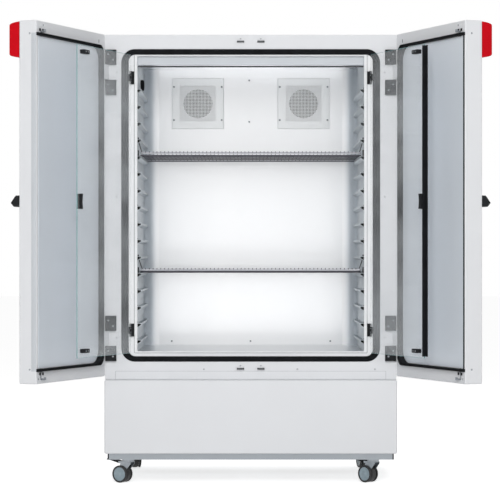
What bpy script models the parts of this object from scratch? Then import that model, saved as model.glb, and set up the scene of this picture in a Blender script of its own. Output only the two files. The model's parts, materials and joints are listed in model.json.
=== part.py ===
"""Refrigerated incubator: a double-door cabinet on casters, with glass inner doors.

The cabinet is described in its own frame: x to the right, y from the front frame's face
towards the back, z up from the floor. Doors are described closed, in the frame of their
hinge axis, and stand open by OPEN_ANGLE. Everything hangs under one empty, which is moved
at the end so that the origin lies on the floor under the middle of the whole object.
"""
import math

import bmesh
import bpy
from mathutils import Matrix, Vector

# Clearances
GAP = 0.0003
SEAT = 0.0005
RUN = 0.001

# Cabinet
CABINET_W = 1.250
CABINET_TOP = 1.930
CABINET_D = 0.790
WALL_T = 0.1385
REAR_WALL_T = 0.0565
PLENUM_D = 0.080
SHEET = 0.0015
FRAME_T = 0.0152
FLANGE = 0.024

# Base
CASTER_H = 0.107
BASE_INSET = 0.011
BASE_FRAME_W = CABINET_W - 2 * BASE_INSET
BASE_FRAME_H = 0.030
BASE_RAIL = 0.130
BASE_BEAM = 0.040
BASE_H = 0.3142
BASE_PANEL_FORWARD = 0.055
BASE_TOP = CASTER_H + BASE_FRAME_H + GAP
PANEL_T = 0.002

# Front frame and its opening
FRAME_BOTTOM = BASE_TOP + BASE_H + GAP
BOTTOM_RAIL = 0.0992
TOP_RAIL = 0.085
LIP_W = 0.0369
LIP_SETBACK = 0.004
CHAMBER_W = CABINET_W - 2 * WALL_T
OPENING_W = CHAMBER_W + 2 * LIP_W
OPENING_BOTTOM = FRAME_BOTTOM + BOTTOM_RAIL
OPENING_TOP = CABINET_TOP - TOP_RAIL
OPENING_R = 0.030
SEAM_INSET = 0.0455
SEAM_H = 0.0352

# Chamber
SILL_H = 0.021
HEADER_H = 0.007
CHAMBER_BOTTOM = OPENING_BOTTOM + SILL_H
CHAMBER_TOP = OPENING_TOP - HEADER_H
CHAMBER_BACK = CABINET_D - REAR_WALL_T - PLENUM_D
RAIL_PITCH = 0.0719
RAIL_FIRST = CHAMBER_BOTTOM + 0.048
RAIL_HEADROOM = 0.130
RAIL_COUNT = 1 + int((CHAMBER_TOP - RAIL_HEADROOM - RAIL_FIRST) / RAIL_PITCH)
RAIL_PROUD = 0.016
RAIL_H = 0.018

# Gaskets
FRAME_GASKET_W = 0.0316
FRAME_GASKET_H = 0.023
FRAME_GASKET_T = 0.008
GASKET_SIDE_W = 0.0195
GASKET_BAR_W = 0.012
BEAD_W = 0.010
GLASS_BEAD_OFFSET = 0.002

# Fans in the back wall
FAN_X = 0.243
FAN_DROP = 0.157
FAN_Z = CHAMBER_TOP - FAN_DROP
FAN_HOLE_R = 0.067
FAN_R = 0.061
FAN_COVER_W = 0.237
FAN_COVER_H = 0.232
FAN_COVER_D = 0.012
FAN_GRID = 5
FAN_GRID_W = 0.168
FAN_BAR = 0.009
BLADES = 5
SHAFT_R = 0.004

# Access port in the left wall
PORT_Y = 0.300
PORT_DROP = 0.102
PORT_Z = CHAMBER_TOP - PORT_DROP
PORT_R = 0.028
PORT_WALL = 0.003

# Outer doors, closed
OPEN_ANGLE = 112.5
DOOR_RISE = 0.0142
DOOR_BOTTOM = FRAME_BOTTOM + DOOR_RISE
DOOR_T = 0.078
DOOR_GAP = 0.022
DOOR_MEET = 0.003
DOOR_SIDE = 0.004
HINGE_INSET = 0.008
HINGE_X = CABINET_W / 2 - HINGE_INSET
HINGE_Y = -0.013
HINGE_FROM_END = 0.162
HINGE_BLOCK_W = 0.049
HINGE_BLOCK_H = 0.064
HINGE_KNUCKLE_R = 0.007
HINGE_PIN_R = 0.004
KNUCKLE_CLEAR = 0.004
LINER_RISE = 0.004
LINER_T = 0.0012

# Latches
LATCH_X = 0.0437
LATCH_DROP = 0.030
LATCH_RISE = 0.0462
LATCH_TOP_Z = CABINET_TOP - LATCH_DROP
LATCH_BOTTOM_Z = FRAME_BOTTOM + LATCH_RISE
LATCH_TRAVEL = 0.006
KEEPER_W = 0.030
KEEPER_WALL = 0.003
KEEPER_PROUD = 0.0125
KEEPER_BAR = 0.0035
HOOK_W = 0.014
ROD_DEPTH = 0.0105

# Handle and housing on the doors
HANDLE_Z = 1.203
HANDLE_FROM_EDGE = 0.040
HANDLE_L = 0.160
HANDLE_H = 0.047
HANDLE_D = 0.030
HANDLE_STAND = 0.016
HOUSING_W = 0.240
HOUSING_H = 0.145
HOUSING_D = 0.045
HOUSING_TAPER = 0.010
SCREEN_W = 0.120
SCREEN_H = 0.078

# Glass doors, closed
GLASS_INSET = 0.0094
GLASS_X = OPENING_W / 2 - GLASS_INSET
GLASS_Y = -0.009
GLASS_T = 0.006
GLASS_R = 0.005
GLASS_EDGE = 0.008
GLASS_MEET = 0.006
GLASS_W = GLASS_X - GLASS_EDGE - GLASS_MEET
GLASS_SILL = 0.0145
GLASS_HEAD = 0.002
GLASS_BOTTOM = OPENING_BOTTOM + GLASS_SILL
GLASS_TOP = OPENING_TOP - GLASS_HEAD
GLASS_HINGE_FROM_END = 0.09775
GLASS_HINGE_H = 0.055
GLASS_LUG_H = 0.012
GLASS_LUG_R = 0.0052

# Shelves
SHELF_CLEAR = 0.008
SHELF_FRONT = 0.045
SHELF_REAR = 0.0385
SHELF_W = CHAMBER_W - 2 * SHELF_CLEAR
SHELF_D = CHAMBER_BACK - SHELF_FRONT - SHELF_REAR
ROD_R = 0.0032
WIRE_R = 0.0014
WIRE_PITCH = 0.0495
WELD = 0.0020
CROSS_ROD = 0.0052
UPPER_RAIL = 11
LOWER_RAIL = 4

# Casters
CASTER_INSET = 0.084
CASTER_REAR = 0.090
CASTER_X = BASE_FRAME_W / 2 - CASTER_INSET
CASTER_FRONT_Y = 0.080
CASTER_REAR_Y = CABINET_D - CASTER_REAR
WHEEL_R = 0.0375
WHEEL_T = 0.026
CASTER_TRAIL = 0.030
AXLE_R = 0.004
PLATE_W = 0.095
PLATE_D = 0.075

# Coils behind the back wall
EVAPORATOR_D = 0.045
EVAPORATOR_H = 0.260
EVAPORATOR_DROP = 0.140
EVAPORATOR_CLEAR = 0.066
EVAPORATOR_PITCH = 0.060
HEATER_H = 0.050
HEATER_DROP = 0.100
HEATER_CLEAR = 0.120

# Cooling set in the base
COMPRESSOR_X = 0.300
COMPRESSOR_Y = 0.420
COMPRESSOR_R = 0.090
COMPRESSOR_H = 0.200
CONDENSER_W = 0.422
CONDENSER_PITCH = 0.035
CONDENSER_H = 0.260
CONDENSER_D = 0.045
CONDENSER_X = -0.290
CONDENSER_FAN_R = 0.105
COMPRESSOR_FOOT = (0.210, 0.170, 0.018)
SHROUD_D = 0.040

# Rear panel
LOUVRE_ROWS = 5
LOUVRE_W = 0.180
LOUVRE_H = 0.014
LOUVRE_PITCH = 0.050
LOUVRE_APART = 0.220
INLET_X = 0.480
INLET_Z = 0.215
INLET_W = 0.050
INLET_H = 0.030
INLET_D = 0.031
INLET_PROUD = 0.003
SOCKET_W = 0.026
SOCKET_H = 0.018
SOCKET_D = 0.018

COLLECTION = None
CUTTERS = None


def clear_scene():
    for old in list(bpy.data.objects):
        bpy.data.objects.remove(old, do_unlink=True)


def make_collections():
    global COLLECTION, CUTTERS
    COLLECTION = bpy.data.collections.new("refrigerated_incubator")
    CUTTERS = bpy.data.collections.new("cutters")
    for collection in (COLLECTION, CUTTERS):
        bpy.context.scene.collection.children.link(collection)


def material(name, colour, roughness, metallic=0.0, alpha=1.0):
    found = bpy.data.materials.get(name)
    if found:
        return found
    mat = bpy.data.materials.new(name)
    mat.use_nodes = True
    shader = mat.node_tree.nodes["Principled BSDF"]
    shader.inputs["Base Color"].default_value = (*colour, 1.0)
    shader.inputs["Roughness"].default_value = roughness
    shader.inputs["Metallic"].default_value = metallic
    shader.inputs["Alpha"].default_value = alpha
    mat.diffuse_color = (*colour, alpha)
    return mat


def white_paint():
    return material("white_paint", (0.74, 0.75, 0.77), 0.35)


def door_paint():
    return material("door_paint", (0.74, 0.75, 0.77), 0.35)


def stainless():
    return material("stainless", (0.62, 0.65, 0.68), 0.28, 1.0)


def zinc():
    return material("zinc", (0.48, 0.52, 0.54), 0.40, 1.0)


def dark_steel():
    return material("dark_steel", (0.10, 0.10, 0.11), 0.45, 0.6)


def black_rubber():
    return material("black_rubber", (0.02, 0.02, 0.022), 0.60)


def black_plastic():
    return material("black_plastic", (0.025, 0.025, 0.028), 0.42)


def white_plastic():
    return material("white_plastic", (0.70, 0.71, 0.72), 0.45)


def red_plastic():
    return material("red_plastic", (0.70, 0.004, 0.014), 0.35)


def foam():
    return material("foam", (0.70, 0.62, 0.42), 0.90)


def glass():
    return material("glass", (0.80, 0.88, 0.87), 0.05, 0.0, 0.3)


def empty(name, location, parent=None, turn=0.0):
    thing = bpy.data.objects.new(name, None)
    COLLECTION.objects.link(thing)
    thing.parent = parent
    thing.location = location
    thing.rotation_euler = (0.0, 0.0, turn)
    return thing


def add(name, bm, mat, parent, smooth=30):
    """Turn a bmesh into a named object under its parent."""
    mesh = bpy.data.meshes.new(name)
    bmesh.ops.recalc_face_normals(bm, faces=bm.faces)
    bm.to_mesh(mesh)
    bm.free()
    mesh.shade_smooth()
    mesh.set_sharp_from_angle(angle=math.radians(smooth))
    mesh.materials.append(mat)
    thing = bpy.data.objects.new(name, mesh)
    COLLECTION.objects.link(thing)
    thing.parent = parent
    return thing


def box(name, x, y, z, mat, parent, bevel=0.0, segments=1):
    """A box between pairs of x, y and z, with its edges rounded by a bevel."""
    low = Vector((min(x), min(y), min(z)))
    high = Vector((max(x), max(y), max(z)))
    bm = bmesh.new()
    size = Matrix.Diagonal((*(high - low), 1.0))
    bmesh.ops.create_cube(bm, size=1.0, matrix=Matrix.Translation((low + high) / 2) @ size)
    thing = add(name, bm, mat, parent)
    if bevel:
        round_edges(thing, bevel, segments)
    return thing


def round_edges(thing, width, segments=1):
    bevel = thing.modifiers.new("rounded_edges", "BEVEL")
    bevel.width = width
    bevel.segments = segments
    bevel.limit_method = "ANGLE"
    bevel.angle_limit = math.radians(40)


AXES = {
    "X": Matrix.Rotation(math.radians(90), 4, "Y"),
    "Y": Matrix.Rotation(math.radians(-90), 4, "X"),
    "Z": Matrix.Identity(4),
}


def rod(name, radius, start, end, axis, centre, mat, parent, sides=16, tip=None):
    """A round bar along X, Y or Z from start to end; centre gives the other two places."""
    middle = list(centre)
    middle.insert("XYZ".index(axis), (start + end) / 2)
    bm = bmesh.new()
    place = Matrix.Translation(middle) @ AXES[axis]
    bmesh.ops.create_cone(bm, cap_ends=True, segments=sides, radius1=radius,
                          radius2=radius if tip is None else tip,
                          depth=abs(end - start), matrix=place)
    return add(name, bm, mat, parent)


def from_curve(name, curve, mat, parent, place=Matrix.Identity(4)):
    """Turn a curve into a closed mesh with its caps welded."""
    source = bpy.data.objects.new(name + "_curve", curve)
    COLLECTION.objects.link(source)
    source.matrix_world = place
    bpy.context.view_layer.update()
    evaluated = source.evaluated_get(bpy.context.evaluated_depsgraph_get())
    mesh = bpy.data.meshes.new_from_object(evaluated)
    mesh.transform(place)
    bm = bmesh.new()
    bm.from_mesh(mesh)
    bmesh.ops.remove_doubles(bm, verts=bm.verts, dist=0.00001)
    bpy.data.objects.remove(source, do_unlink=True)
    bpy.data.meshes.remove(mesh)
    return add(name, bm, mat, parent)


PLANES = {
    "XY": Matrix.Identity(4),
    "XZ": Matrix(((1, 0, 0, 0), (0, 0, 1, 0), (0, 1, 0, 0), (0, 0, 0, 1))),
    "YZ": Matrix(((0, 0, 1, 0), (1, 0, 0, 0), (0, 1, 0, 0), (0, 0, 0, 1))),
}


def prism(name, outline, plane, start, end, mat, parent):
    """A flat outline without holes, from start to end."""
    bm = bmesh.new()
    loops = [[bm.verts.new(PLANES[plane] @ Vector((a, b, c))) for a, b in outline]
             for c in (start, end)]
    for index in range(len(outline)):
        after = (index + 1) % len(outline)
        bm.faces.new((loops[0][index], loops[0][after], loops[1][after], loops[1][index]))
    for loop in loops:
        bm.faces.new(loop)
    return add(name, bm, mat, parent)


def flat(name, outlines, plane, start, end, mat, parent):
    """A flat outline, with holes where one outline lies in another, from start to end."""
    if len(outlines) == 1:
        return prism(name, outlines[0], plane, start, end, mat, parent)
    curve = bpy.data.curves.new(name, "CURVE")
    curve.dimensions = "2D"
    curve.fill_mode = "BOTH"
    curve.extrude = abs(end - start) / 2
    for outline in outlines:
        spline = curve.splines.new("POLY")
        spline.points.add(len(outline) - 1)
        for point, (a, b) in zip(spline.points, outline):
            point.co = (a, b, 0.0, 1.0)
        spline.use_cyclic_u = True
    lift = Matrix.Translation((0.0, 0.0, (start + end) / 2))
    return from_curve(name, curve, mat, parent, PLANES[plane] @ lift)


def wire(name, points, radius, mat, parent, closed=False, sides=2):
    """A bent wire or tube through a list of points."""
    curve = bpy.data.curves.new(name, "CURVE")
    curve.dimensions = "3D"
    curve.bevel_depth = radius
    curve.bevel_resolution = sides
    curve.use_fill_caps = not closed
    spline = curve.splines.new("POLY")
    spline.points.add(len(points) - 1)
    for point, place in zip(spline.points, points):
        point.co = (*place, 1.0)
    spline.use_cyclic_u = closed
    return from_curve(name, curve, mat, parent)


def turned(name, profile, mat, parent, place=Matrix.Identity(4), steps=24):
    """Turn a closed profile of (radius, height) points about its own axis."""
    bm = bmesh.new()
    verts = [bm.verts.new((radius, 0.0, height)) for radius, height in profile]
    for index, vert in enumerate(verts):
        bm.edges.new((vert, verts[(index + 1) % len(verts)]))
    bmesh.ops.spin(bm, geom=bm.verts[:] + bm.edges[:], cent=(0, 0, 0), axis=(0, 0, 1),
                   dvec=(0, 0, 0), angle=math.tau, steps=steps, use_merge=True)
    bmesh.ops.remove_doubles(bm, verts=bm.verts, dist=0.00001)
    bmesh.ops.transform(bm, matrix=place, verts=bm.verts)
    return add(name, bm, mat, parent)


def screwed(name, profile, mat, parent, place=Matrix.Identity(4), steps=24):
    """A turned body: the profile runs down its outer side from the axis to the axis."""
    bm = bmesh.new()
    verts = [bm.verts.new((radius, 0.0, height)) for radius, height in profile]
    for first, second in zip(verts, verts[1:]):
        bm.edges.new((first, second))
    mesh = bpy.data.meshes.new(name)
    bm.to_mesh(mesh)
    bm.free()
    mesh.materials.append(mat)
    thing = bpy.data.objects.new(name, mesh)
    COLLECTION.objects.link(thing)
    screw = thing.modifiers.new("turned", "SCREW")
    screw.steps = steps
    screw.render_steps = steps
    screw.use_merge_vertices = True
    screw.merge_threshold = 0.0001
    return frozen(thing, parent, place)


def frozen(thing, parent=None, place=Matrix.Identity(4)):
    """Apply an object's modifiers, then carry its mesh by a matrix."""
    bpy.context.view_layer.update()
    evaluated = thing.evaluated_get(bpy.context.evaluated_depsgraph_get())
    mesh = bpy.data.meshes.new_from_object(evaluated)
    bm = bmesh.new()
    bm.from_mesh(mesh)
    bmesh.ops.remove_doubles(bm, verts=bm.verts, dist=0.000005)
    bmesh.ops.transform(bm, matrix=place, verts=bm.verts)
    name = thing.name
    mat = thing.data.materials[0]
    holder = parent or thing.parent
    bpy.data.objects.remove(thing, do_unlink=True)
    bpy.data.meshes.remove(mesh)
    return add(name, bm, mat, holder)


def boolean(thing, other, operation):
    """Cut or join with another object, which is kept as a hidden cutter."""
    other.name = "cutter_" + other.name
    COLLECTION.objects.unlink(other)
    CUTTERS.objects.link(other)
    other.hide_render = True
    other.display_type = "WIRE"
    change = thing.modifiers.new(other.name, "BOOLEAN")
    change.operation = operation
    change.solver = "EXACT"
    change.object = other
    return thing


def cut(thing, *cutters):
    for cutter in cutters:
        boolean(thing, cutter, "DIFFERENCE")
    return thing


def fuse(thing, *others):
    for other in others:
        boolean(thing, other, "UNION")
    return thing


def gathered(name, things, mat, parent):
    """Put separate solids into one object, to be joined to or cut from another in one go."""
    bm = bmesh.new()
    for thing in things:
        bpy.context.view_layer.update()
        evaluated = thing.evaluated_get(bpy.context.evaluated_depsgraph_get())
        mesh = bpy.data.meshes.new_from_object(evaluated)
        bm.from_mesh(mesh)
        bpy.data.meshes.remove(mesh)
    for thing in things:
        bpy.data.objects.remove(thing, do_unlink=True)
    mesh = bpy.data.meshes.new(name)
    bm.to_mesh(mesh)
    bm.free()
    mesh.materials.clear()
    mesh.materials.append(mat)
    joined = bpy.data.objects.new(name, mesh)
    COLLECTION.objects.link(joined)
    joined.parent = parent
    return joined


def rounded(x, z, radius, steps=4):
    """A rectangle between pairs of values, with round corners, counter-clockwise."""
    low_x, high_x = min(x) + radius, max(x) - radius
    low_z, high_z = min(z) + radius, max(z) - radius
    corners = ((high_x, high_z, 0), (low_x, high_z, 90), (low_x, low_z, 180), (high_x, low_z, 270))
    outline = []
    for corner_x, corner_z, first in corners:
        for step in range(steps + 1):
            angle = math.radians(first + 90 * step / steps)
            outline.append((corner_x + radius * math.cos(angle), corner_z + radius * math.sin(angle)))
    return outline


def pressed(name, rings, thickness, mat, parent, facing=-1):
    """A pressed sheet facing along Y: rings of (outline, y), bridged, and closed at the last.

    The rings give the face that is seen, and the sheet's thickness lies behind it.
    """
    bm = bmesh.new()
    loops = [[bm.verts.new((a, y, b)) for a, b in outline] for outline, y in rings]
    for outer, inner in zip(loops, loops[1:]):
        for index in range(len(outer)):
            after = (index + 1) % len(outer)
            bm.faces.new((outer[index], outer[after], inner[after], inner[index]))
    bm.faces.new(loops[-1])
    bmesh.ops.recalc_face_normals(bm, faces=bm.faces)
    bm.faces.ensure_lookup_table()
    if bm.faces[-1].normal.y * facing < 0:
        bmesh.ops.reverse_faces(bm, faces=bm.faces)
    mesh = bpy.data.meshes.new(name)
    bm.to_mesh(mesh)
    bm.free()
    mesh.materials.append(mat)
    thing = bpy.data.objects.new(name, mesh)
    COLLECTION.objects.link(thing)
    thing.parent = parent
    wall = thing.modifiers.new("wall", "SOLIDIFY")
    wall.thickness = thickness
    wall.offset = -1.0
    wall.use_even_offset = True
    return thing


def side_x(side, *values):
    """Carry distances from the middle, or from a door's hinge, to the left or right side."""
    return tuple(side * value for value in values)


# Cabinet

def arch(outer, inner, low, outer_top, inner_top):
    """The outline of a sheet that runs up one side, over the top and down the other."""
    return [(outer, low), (outer, outer_top), (-outer, outer_top), (-outer, low),
            (-inner, low), (-inner, inner_top), (inner, inner_top), (inner, low)]


def make_casing(root):
    """Sides and top, one wrapped sheet with a flange turned in at its front and back edge."""
    front, back = FRAME_T + GAP, CABINET_D - SHEET - GAP
    half = CABINET_W / 2
    low = BASE_TOP
    casing = flat("outer_casing", [arch(half, half - SHEET, low, CABINET_TOP, CABINET_TOP - SHEET)],
                  "XZ", front, back, white_paint(), root)
    skin = SHEET / 2
    flange = arch(half - skin, half - FLANGE, low + 0.0002, CABINET_TOP - skin, CABINET_TOP - FLANGE)
    for start in (front + 0.0002, back - SHEET - 0.0002):
        fuse(casing, flat("casing_flange", [flange], "XZ", start, start + SHEET, white_paint(), root))
    hole = rod("port_hole_casing", PORT_R + GAP, -half - 0.01, -half + 0.01, "X",
               (PORT_Y, PORT_Z), white_paint(), root, 24)
    cut(casing, hole)


def make_rear_panel(root):
    """The rear panel, louvred in front of the condenser and cut out for the mains inlet."""
    half = CABINET_W / 2
    outline = [(-half, BASE_TOP), (half, BASE_TOP), (half, CABINET_TOP), (-half, CABINET_TOP)]
    outlines = [outline]
    for centre in (CONDENSER_X - LOUVRE_APART / 2, CONDENSER_X + LOUVRE_APART / 2):
        for row in range(LOUVRE_ROWS):
            z = BASE_TOP + LOUVRE_PITCH * (row + 0.5)
            outlines.append(rounded((centre - LOUVRE_W / 2, centre + LOUVRE_W / 2),
                                    (z, z + LOUVRE_H), LOUVRE_H * 0.4, 1))
    half_w, half_h = INLET_W / 2 + SEAT, INLET_H / 2 + SEAT
    outlines.append(rounded((INLET_X - half_w, INLET_X + half_w),
                            (INLET_Z - half_h, INLET_Z + half_h), GAP, 1))
    flat("rear_panel", outlines, "XZ", CABINET_D - SHEET, CABINET_D, white_paint(), root)


def make_mains_inlet(root):
    back = CABINET_D + INLET_PROUD
    body = box("mains_inlet", (INLET_X - INLET_W / 2, INLET_X + INLET_W / 2), (back - INLET_D, back),
               (INLET_Z - INLET_H / 2, INLET_Z + INLET_H / 2), black_plastic(), root)
    hollow = box("inlet_hollow", (INLET_X - SOCKET_W / 2, INLET_X + SOCKET_W / 2),
                 (back - SOCKET_D, back + 0.01), (INLET_Z - SOCKET_H / 2, INLET_Z + SOCKET_H / 2),
                 black_plastic(), root)
    cut(body, hollow)


def make_front_frame(root):
    half = CABINET_W / 2
    opening = rounded((-OPENING_W / 2, OPENING_W / 2), (OPENING_BOTTOM, OPENING_TOP), OPENING_R)
    outer = rounded((-half, half), (FRAME_BOTTOM, CABINET_TOP), 0.003, 2)
    frame = flat("front_frame", [outer, opening], "XZ", 0.0, FRAME_T, white_paint(), root)
    seam = box("seam_strip", (-half + SEAM_INSET, half - SEAM_INSET), (-SHEET, 0.002),
               (FRAME_BOTTOM + 0.001, FRAME_BOTTOM + SEAM_H), white_paint(), root)
    fuse(frame, gathered("frame_keepers", [seam] + make_keepers(root), white_paint(), root))


def make_frame_gasket(root):
    inner_x = OPENING_W / 2
    outer_x = inner_x + FRAME_GASKET_W
    low, high = OPENING_BOTTOM - FRAME_GASKET_H, OPENING_TOP + FRAME_GASKET_H
    outer = rounded((-outer_x, outer_x), (low, high), OPENING_R + 0.028)
    inner = rounded((-inner_x, inner_x), (OPENING_BOTTOM, OPENING_TOP), OPENING_R)
    ring = flat("frame_gasket", [outer, inner], "XZ", -GAP - FRAME_GASKET_T, -GAP,
                black_rubber(), root)
    round_edges(ring, 0.002)


def make_lip(root):
    """The soft lip round the chamber's mouth, with the bead that the glass doors meet."""
    mouth_x = CHAMBER_W / 2
    outer_x = OPENING_W / 2 - GAP
    low, high = OPENING_BOTTOM + GAP, OPENING_TOP - GAP
    outer = rounded((-outer_x, outer_x), (low, high), OPENING_R - GAP)
    inner = rounded((-mouth_x, mouth_x), (CHAMBER_BOTTOM, CHAMBER_TOP), 0.004, 2)
    lip = flat("chamber_lip", [outer, inner], "XZ", LIP_SETBACK, FRAME_T, white_plastic(), root)
    bead_x = mouth_x + GLASS_BEAD_OFFSET
    bead_low, bead_high = CHAMBER_BOTTOM - 0.0005, CHAMBER_TOP + 0.0005
    bead_outer = rounded((-bead_x - BEAD_W, bead_x + BEAD_W), (bead_low - 0.005, bead_high + 0.004),
                         0.006, 2)
    bead_inner = rounded((-bead_x, bead_x), (bead_low, bead_high), 0.003, 2)
    glass_back = GLASS_Y + GLASS_T
    bead = flat("bead_ring", [bead_outer, bead_inner], "XZ", glass_back + GAP, LIP_SETBACK + 0.002,
                white_plastic(), root)
    for side in (-1, 1):
        for z in glass_hinge_heights():
            notch = box("bead_notch", side_x(side, bead_x - 0.004, bead_x + BEAD_W + 0.004),
                        (glass_back - 0.004, LIP_SETBACK + 0.004),
                        (z - GLASS_HINGE_H / 2, z + GLASS_HINGE_H / 2), white_plastic(), root)
            cut(bead, notch)
    fuse(lip, gathered("lip_pieces", [bead] + make_glass_hinge_mounts(root), white_plastic(), root))


def rail_height(level):
    return RAIL_FIRST + level * RAIL_PITCH


def make_chamber_walls(root):
    """Side walls of pressed sheet: each rail is a rib with a flat top that carries a shelf."""
    front, back = FRAME_T + GAP, CHAMBER_BACK - GAP
    low, high = CHAMBER_BOTTOM + GAP, CHAMBER_TOP - GAP
    wall_x = CHAMBER_W / 2
    for side, name in ((-1, "chamber_wall_left"), (1, "chamber_wall_right")):
        seen = [(wall_x, low)]
        for level in range(RAIL_COUNT):
            top = rail_height(level)
            seen += [(wall_x, top - RAIL_H), (wall_x - RAIL_PROUD, top - RAIL_H / 2),
                     (wall_x - RAIL_PROUD, top), (wall_x, top)]
        seen.append((wall_x, high))
        bm = bmesh.new()
        loops = [[bm.verts.new((side * x, y, z)) for x, z in seen] for y in (front, back)]
        for index in range(len(seen) - 1):
            bm.faces.new((loops[0][index], loops[0][index + 1],
                          loops[1][index + 1], loops[1][index]))
        bm.faces.ensure_lookup_table()
        bm.normal_update()
        if bm.faces[0].normal.x * side > 0:
            bmesh.ops.reverse_faces(bm, faces=bm.faces)
        mesh = bpy.data.meshes.new(name)
        bm.to_mesh(mesh)
        bm.free()
        mesh.materials.append(stainless())
        wall = bpy.data.objects.new(name, mesh)
        COLLECTION.objects.link(wall)
        wall.parent = root
        sheet = wall.modifiers.new("wall", "SOLIDIFY")
        sheet.thickness = SHEET
        sheet.offset = -1.0
        sheet.use_even_offset = True
        if side < 0:
            hole = rod("port_hole_wall", PORT_R + GAP, -wall_x - 0.01, -wall_x + 0.01, "X",
                       (PORT_Y, PORT_Z), stainless(), root, 24)
            cut(wall, hole)


def make_chamber_back_and_floor(root):
    half = CHAMBER_W / 2 + SHEET
    front, back = FRAME_T + GAP, CHAMBER_BACK - GAP
    box("chamber_floor", (-half, half), (front, back), (CHAMBER_BOTTOM - SHEET, CHAMBER_BOTTOM),
        stainless(), root)
    box("chamber_ceiling", (-half, half), (front, back), (CHAMBER_TOP, CHAMBER_TOP + SHEET),
        stainless(), root)
    outline = [(-half, CHAMBER_BOTTOM - SHEET), (half, CHAMBER_BOTTOM - SHEET),
               (half, CHAMBER_TOP + SHEET), (-half, CHAMBER_TOP + SHEET)]
    holes = [circle(side * FAN_X, FAN_Z, FAN_HOLE_R, 24) for side in (-1, 1)]
    flat("chamber_back_wall", [outline] + holes, "XZ", CHAMBER_BACK, CHAMBER_BACK + SHEET,
         stainless(), root)


def circle(a, b, radius, sides):
    return [(a + radius * math.cos(math.tau * step / sides),
             b + radius * math.sin(math.tau * step / sides)) for step in range(sides)]


def make_insulation(root):
    """Foam filled in between the chamber and the casing: one body, open at the front."""
    front, back = FRAME_T + GAP + SHEET + 2 * GAP, CABINET_D - 2 * SHEET - 4 * GAP
    out_x = CABINET_W / 2 - SHEET - GAP
    in_x = CHAMBER_W / 2 + SHEET + GAP
    low, high = FRAME_BOTTOM + GAP, CABINET_TOP - SHEET - GAP
    floor = CHAMBER_BOTTOM - SHEET - GAP
    ceiling = CHAMBER_TOP + SHEET + GAP
    plenum = CHAMBER_BACK + SHEET + PLENUM_D
    body = box("insulation", (-out_x, out_x), (front, back), (low, high), foam(), root)
    room = box("chamber_room", (-in_x, in_x), (front - 0.01, plenum), (floor, ceiling), foam(), root)
    hole = rod("port_hole_foam", PORT_R + GAP, -out_x - 0.01, -in_x + 0.01, "X",
               (PORT_Y, PORT_Z), foam(), root, 24)
    cut(body, room, hole)


# Base

def make_base_frame(root):
    half = BASE_FRAME_W / 2
    front, back = LIP_SETBACK, CABINET_D - SHEET - GAP
    middle = (front + back) / 2
    rise = (CASTER_H, CASTER_H + BASE_FRAME_H)
    frame = box("base_frame", (-half, half), (front, back), rise, zinc(), root)
    holes = []
    for x in ((-half + BASE_BEAM, -BASE_BEAM / 2), (BASE_BEAM / 2, half - BASE_BEAM)):
        for y in ((front + BASE_RAIL, middle - BASE_BEAM * 1.5),
                  (middle + BASE_BEAM * 1.5, back - BASE_RAIL)):
            holes.append(box("frame_hole", x, y, (rise[0] - 0.01, rise[1] + 0.01), zinc(), root))
    cut(frame, gathered("frame_holes", holes, zinc(), root))
    fuse(frame, gathered("bolted_plates", make_caster_plates(root), zinc(), root))


def make_base_front(root):
    """The deep front cover of the base, a folded pan that stands forward under the doors."""
    half = CABINET_W / 2 - 0.0005
    low, high = BASE_TOP, FRAME_BOTTOM - GAP
    front, back = -BASE_PANEL_FORWARD, FRAME_T
    edge = 0.004
    rings = [(rounded((-half, half), (low, high), 0.006, 2), back),
             (rounded((-half, half), (low, high), 0.006, 2), front + edge),
             (rounded((-half + edge, half - edge), (low + edge, high - edge), 0.004, 2), front)]
    pressed("base_front_panel", rings, PANEL_T, white_paint(), root)


def make_compressor(root):
    """A sealed compressor: a turned pot with a rolled waist on a cross foot."""
    low = BASE_TOP
    foot_w, foot_d, foot_h = COMPRESSOR_FOOT
    base = low + foot_h
    radius = COMPRESSOR_R
    height = COMPRESSOR_H - foot_h
    dome = [(0.0, height)]
    for step in range(1, 6):
        angle = math.radians(90 - 18 * step)
        dome.append((radius * math.cos(angle), height - 0.055 + 0.055 * math.sin(angle)))
    waist = height * 0.42
    dome += [(radius, waist + 0.006), (radius + 0.006, waist + 0.004),
             (radius + 0.006, waist - 0.004), (radius, waist - 0.006),
             (radius, 0.025), (radius * 0.7, 0.0), (0.0, 0.0)]
    place = Matrix.Translation((COMPRESSOR_X, COMPRESSOR_Y, base))
    pot = screwed("compressor", dome, dark_steel(), root, place, 20)
    foot = box("compressor_foot", (COMPRESSOR_X - foot_w / 2, COMPRESSOR_X + foot_w / 2),
               (COMPRESSOR_Y - foot_d / 2, COMPRESSOR_Y + foot_d / 2), (low, base + 0.003),
               dark_steel(), root, 0.006)
    fuse(pot, foot)


def comb_reach(low, high, pitch):
    """Half the distance between the outermost fins of a comb."""
    return (int((high - low) / pitch) - 1) * pitch / 2


def comb(low, high, near, far, spine, pitch, fin):
    """The outline of a finned block: a spine along its length with fins on both sides."""
    centre = (near + far) / 2
    count = int((high - low) / pitch)
    start = (low + high) / 2 - comb_reach(low, high, pitch)
    lower, upper = [], []
    for index in range(count):
        x = start + index * pitch
        lower += [(x - fin / 2, centre - spine / 2), (x - fin / 2, near),
                  (x + fin / 2, near), (x + fin / 2, centre - spine / 2)]
        upper += [(x - fin / 2, centre + spine / 2), (x - fin / 2, far),
                  (x + fin / 2, far), (x + fin / 2, centre + spine / 2)]
    return lower + upper[::-1]


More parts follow.
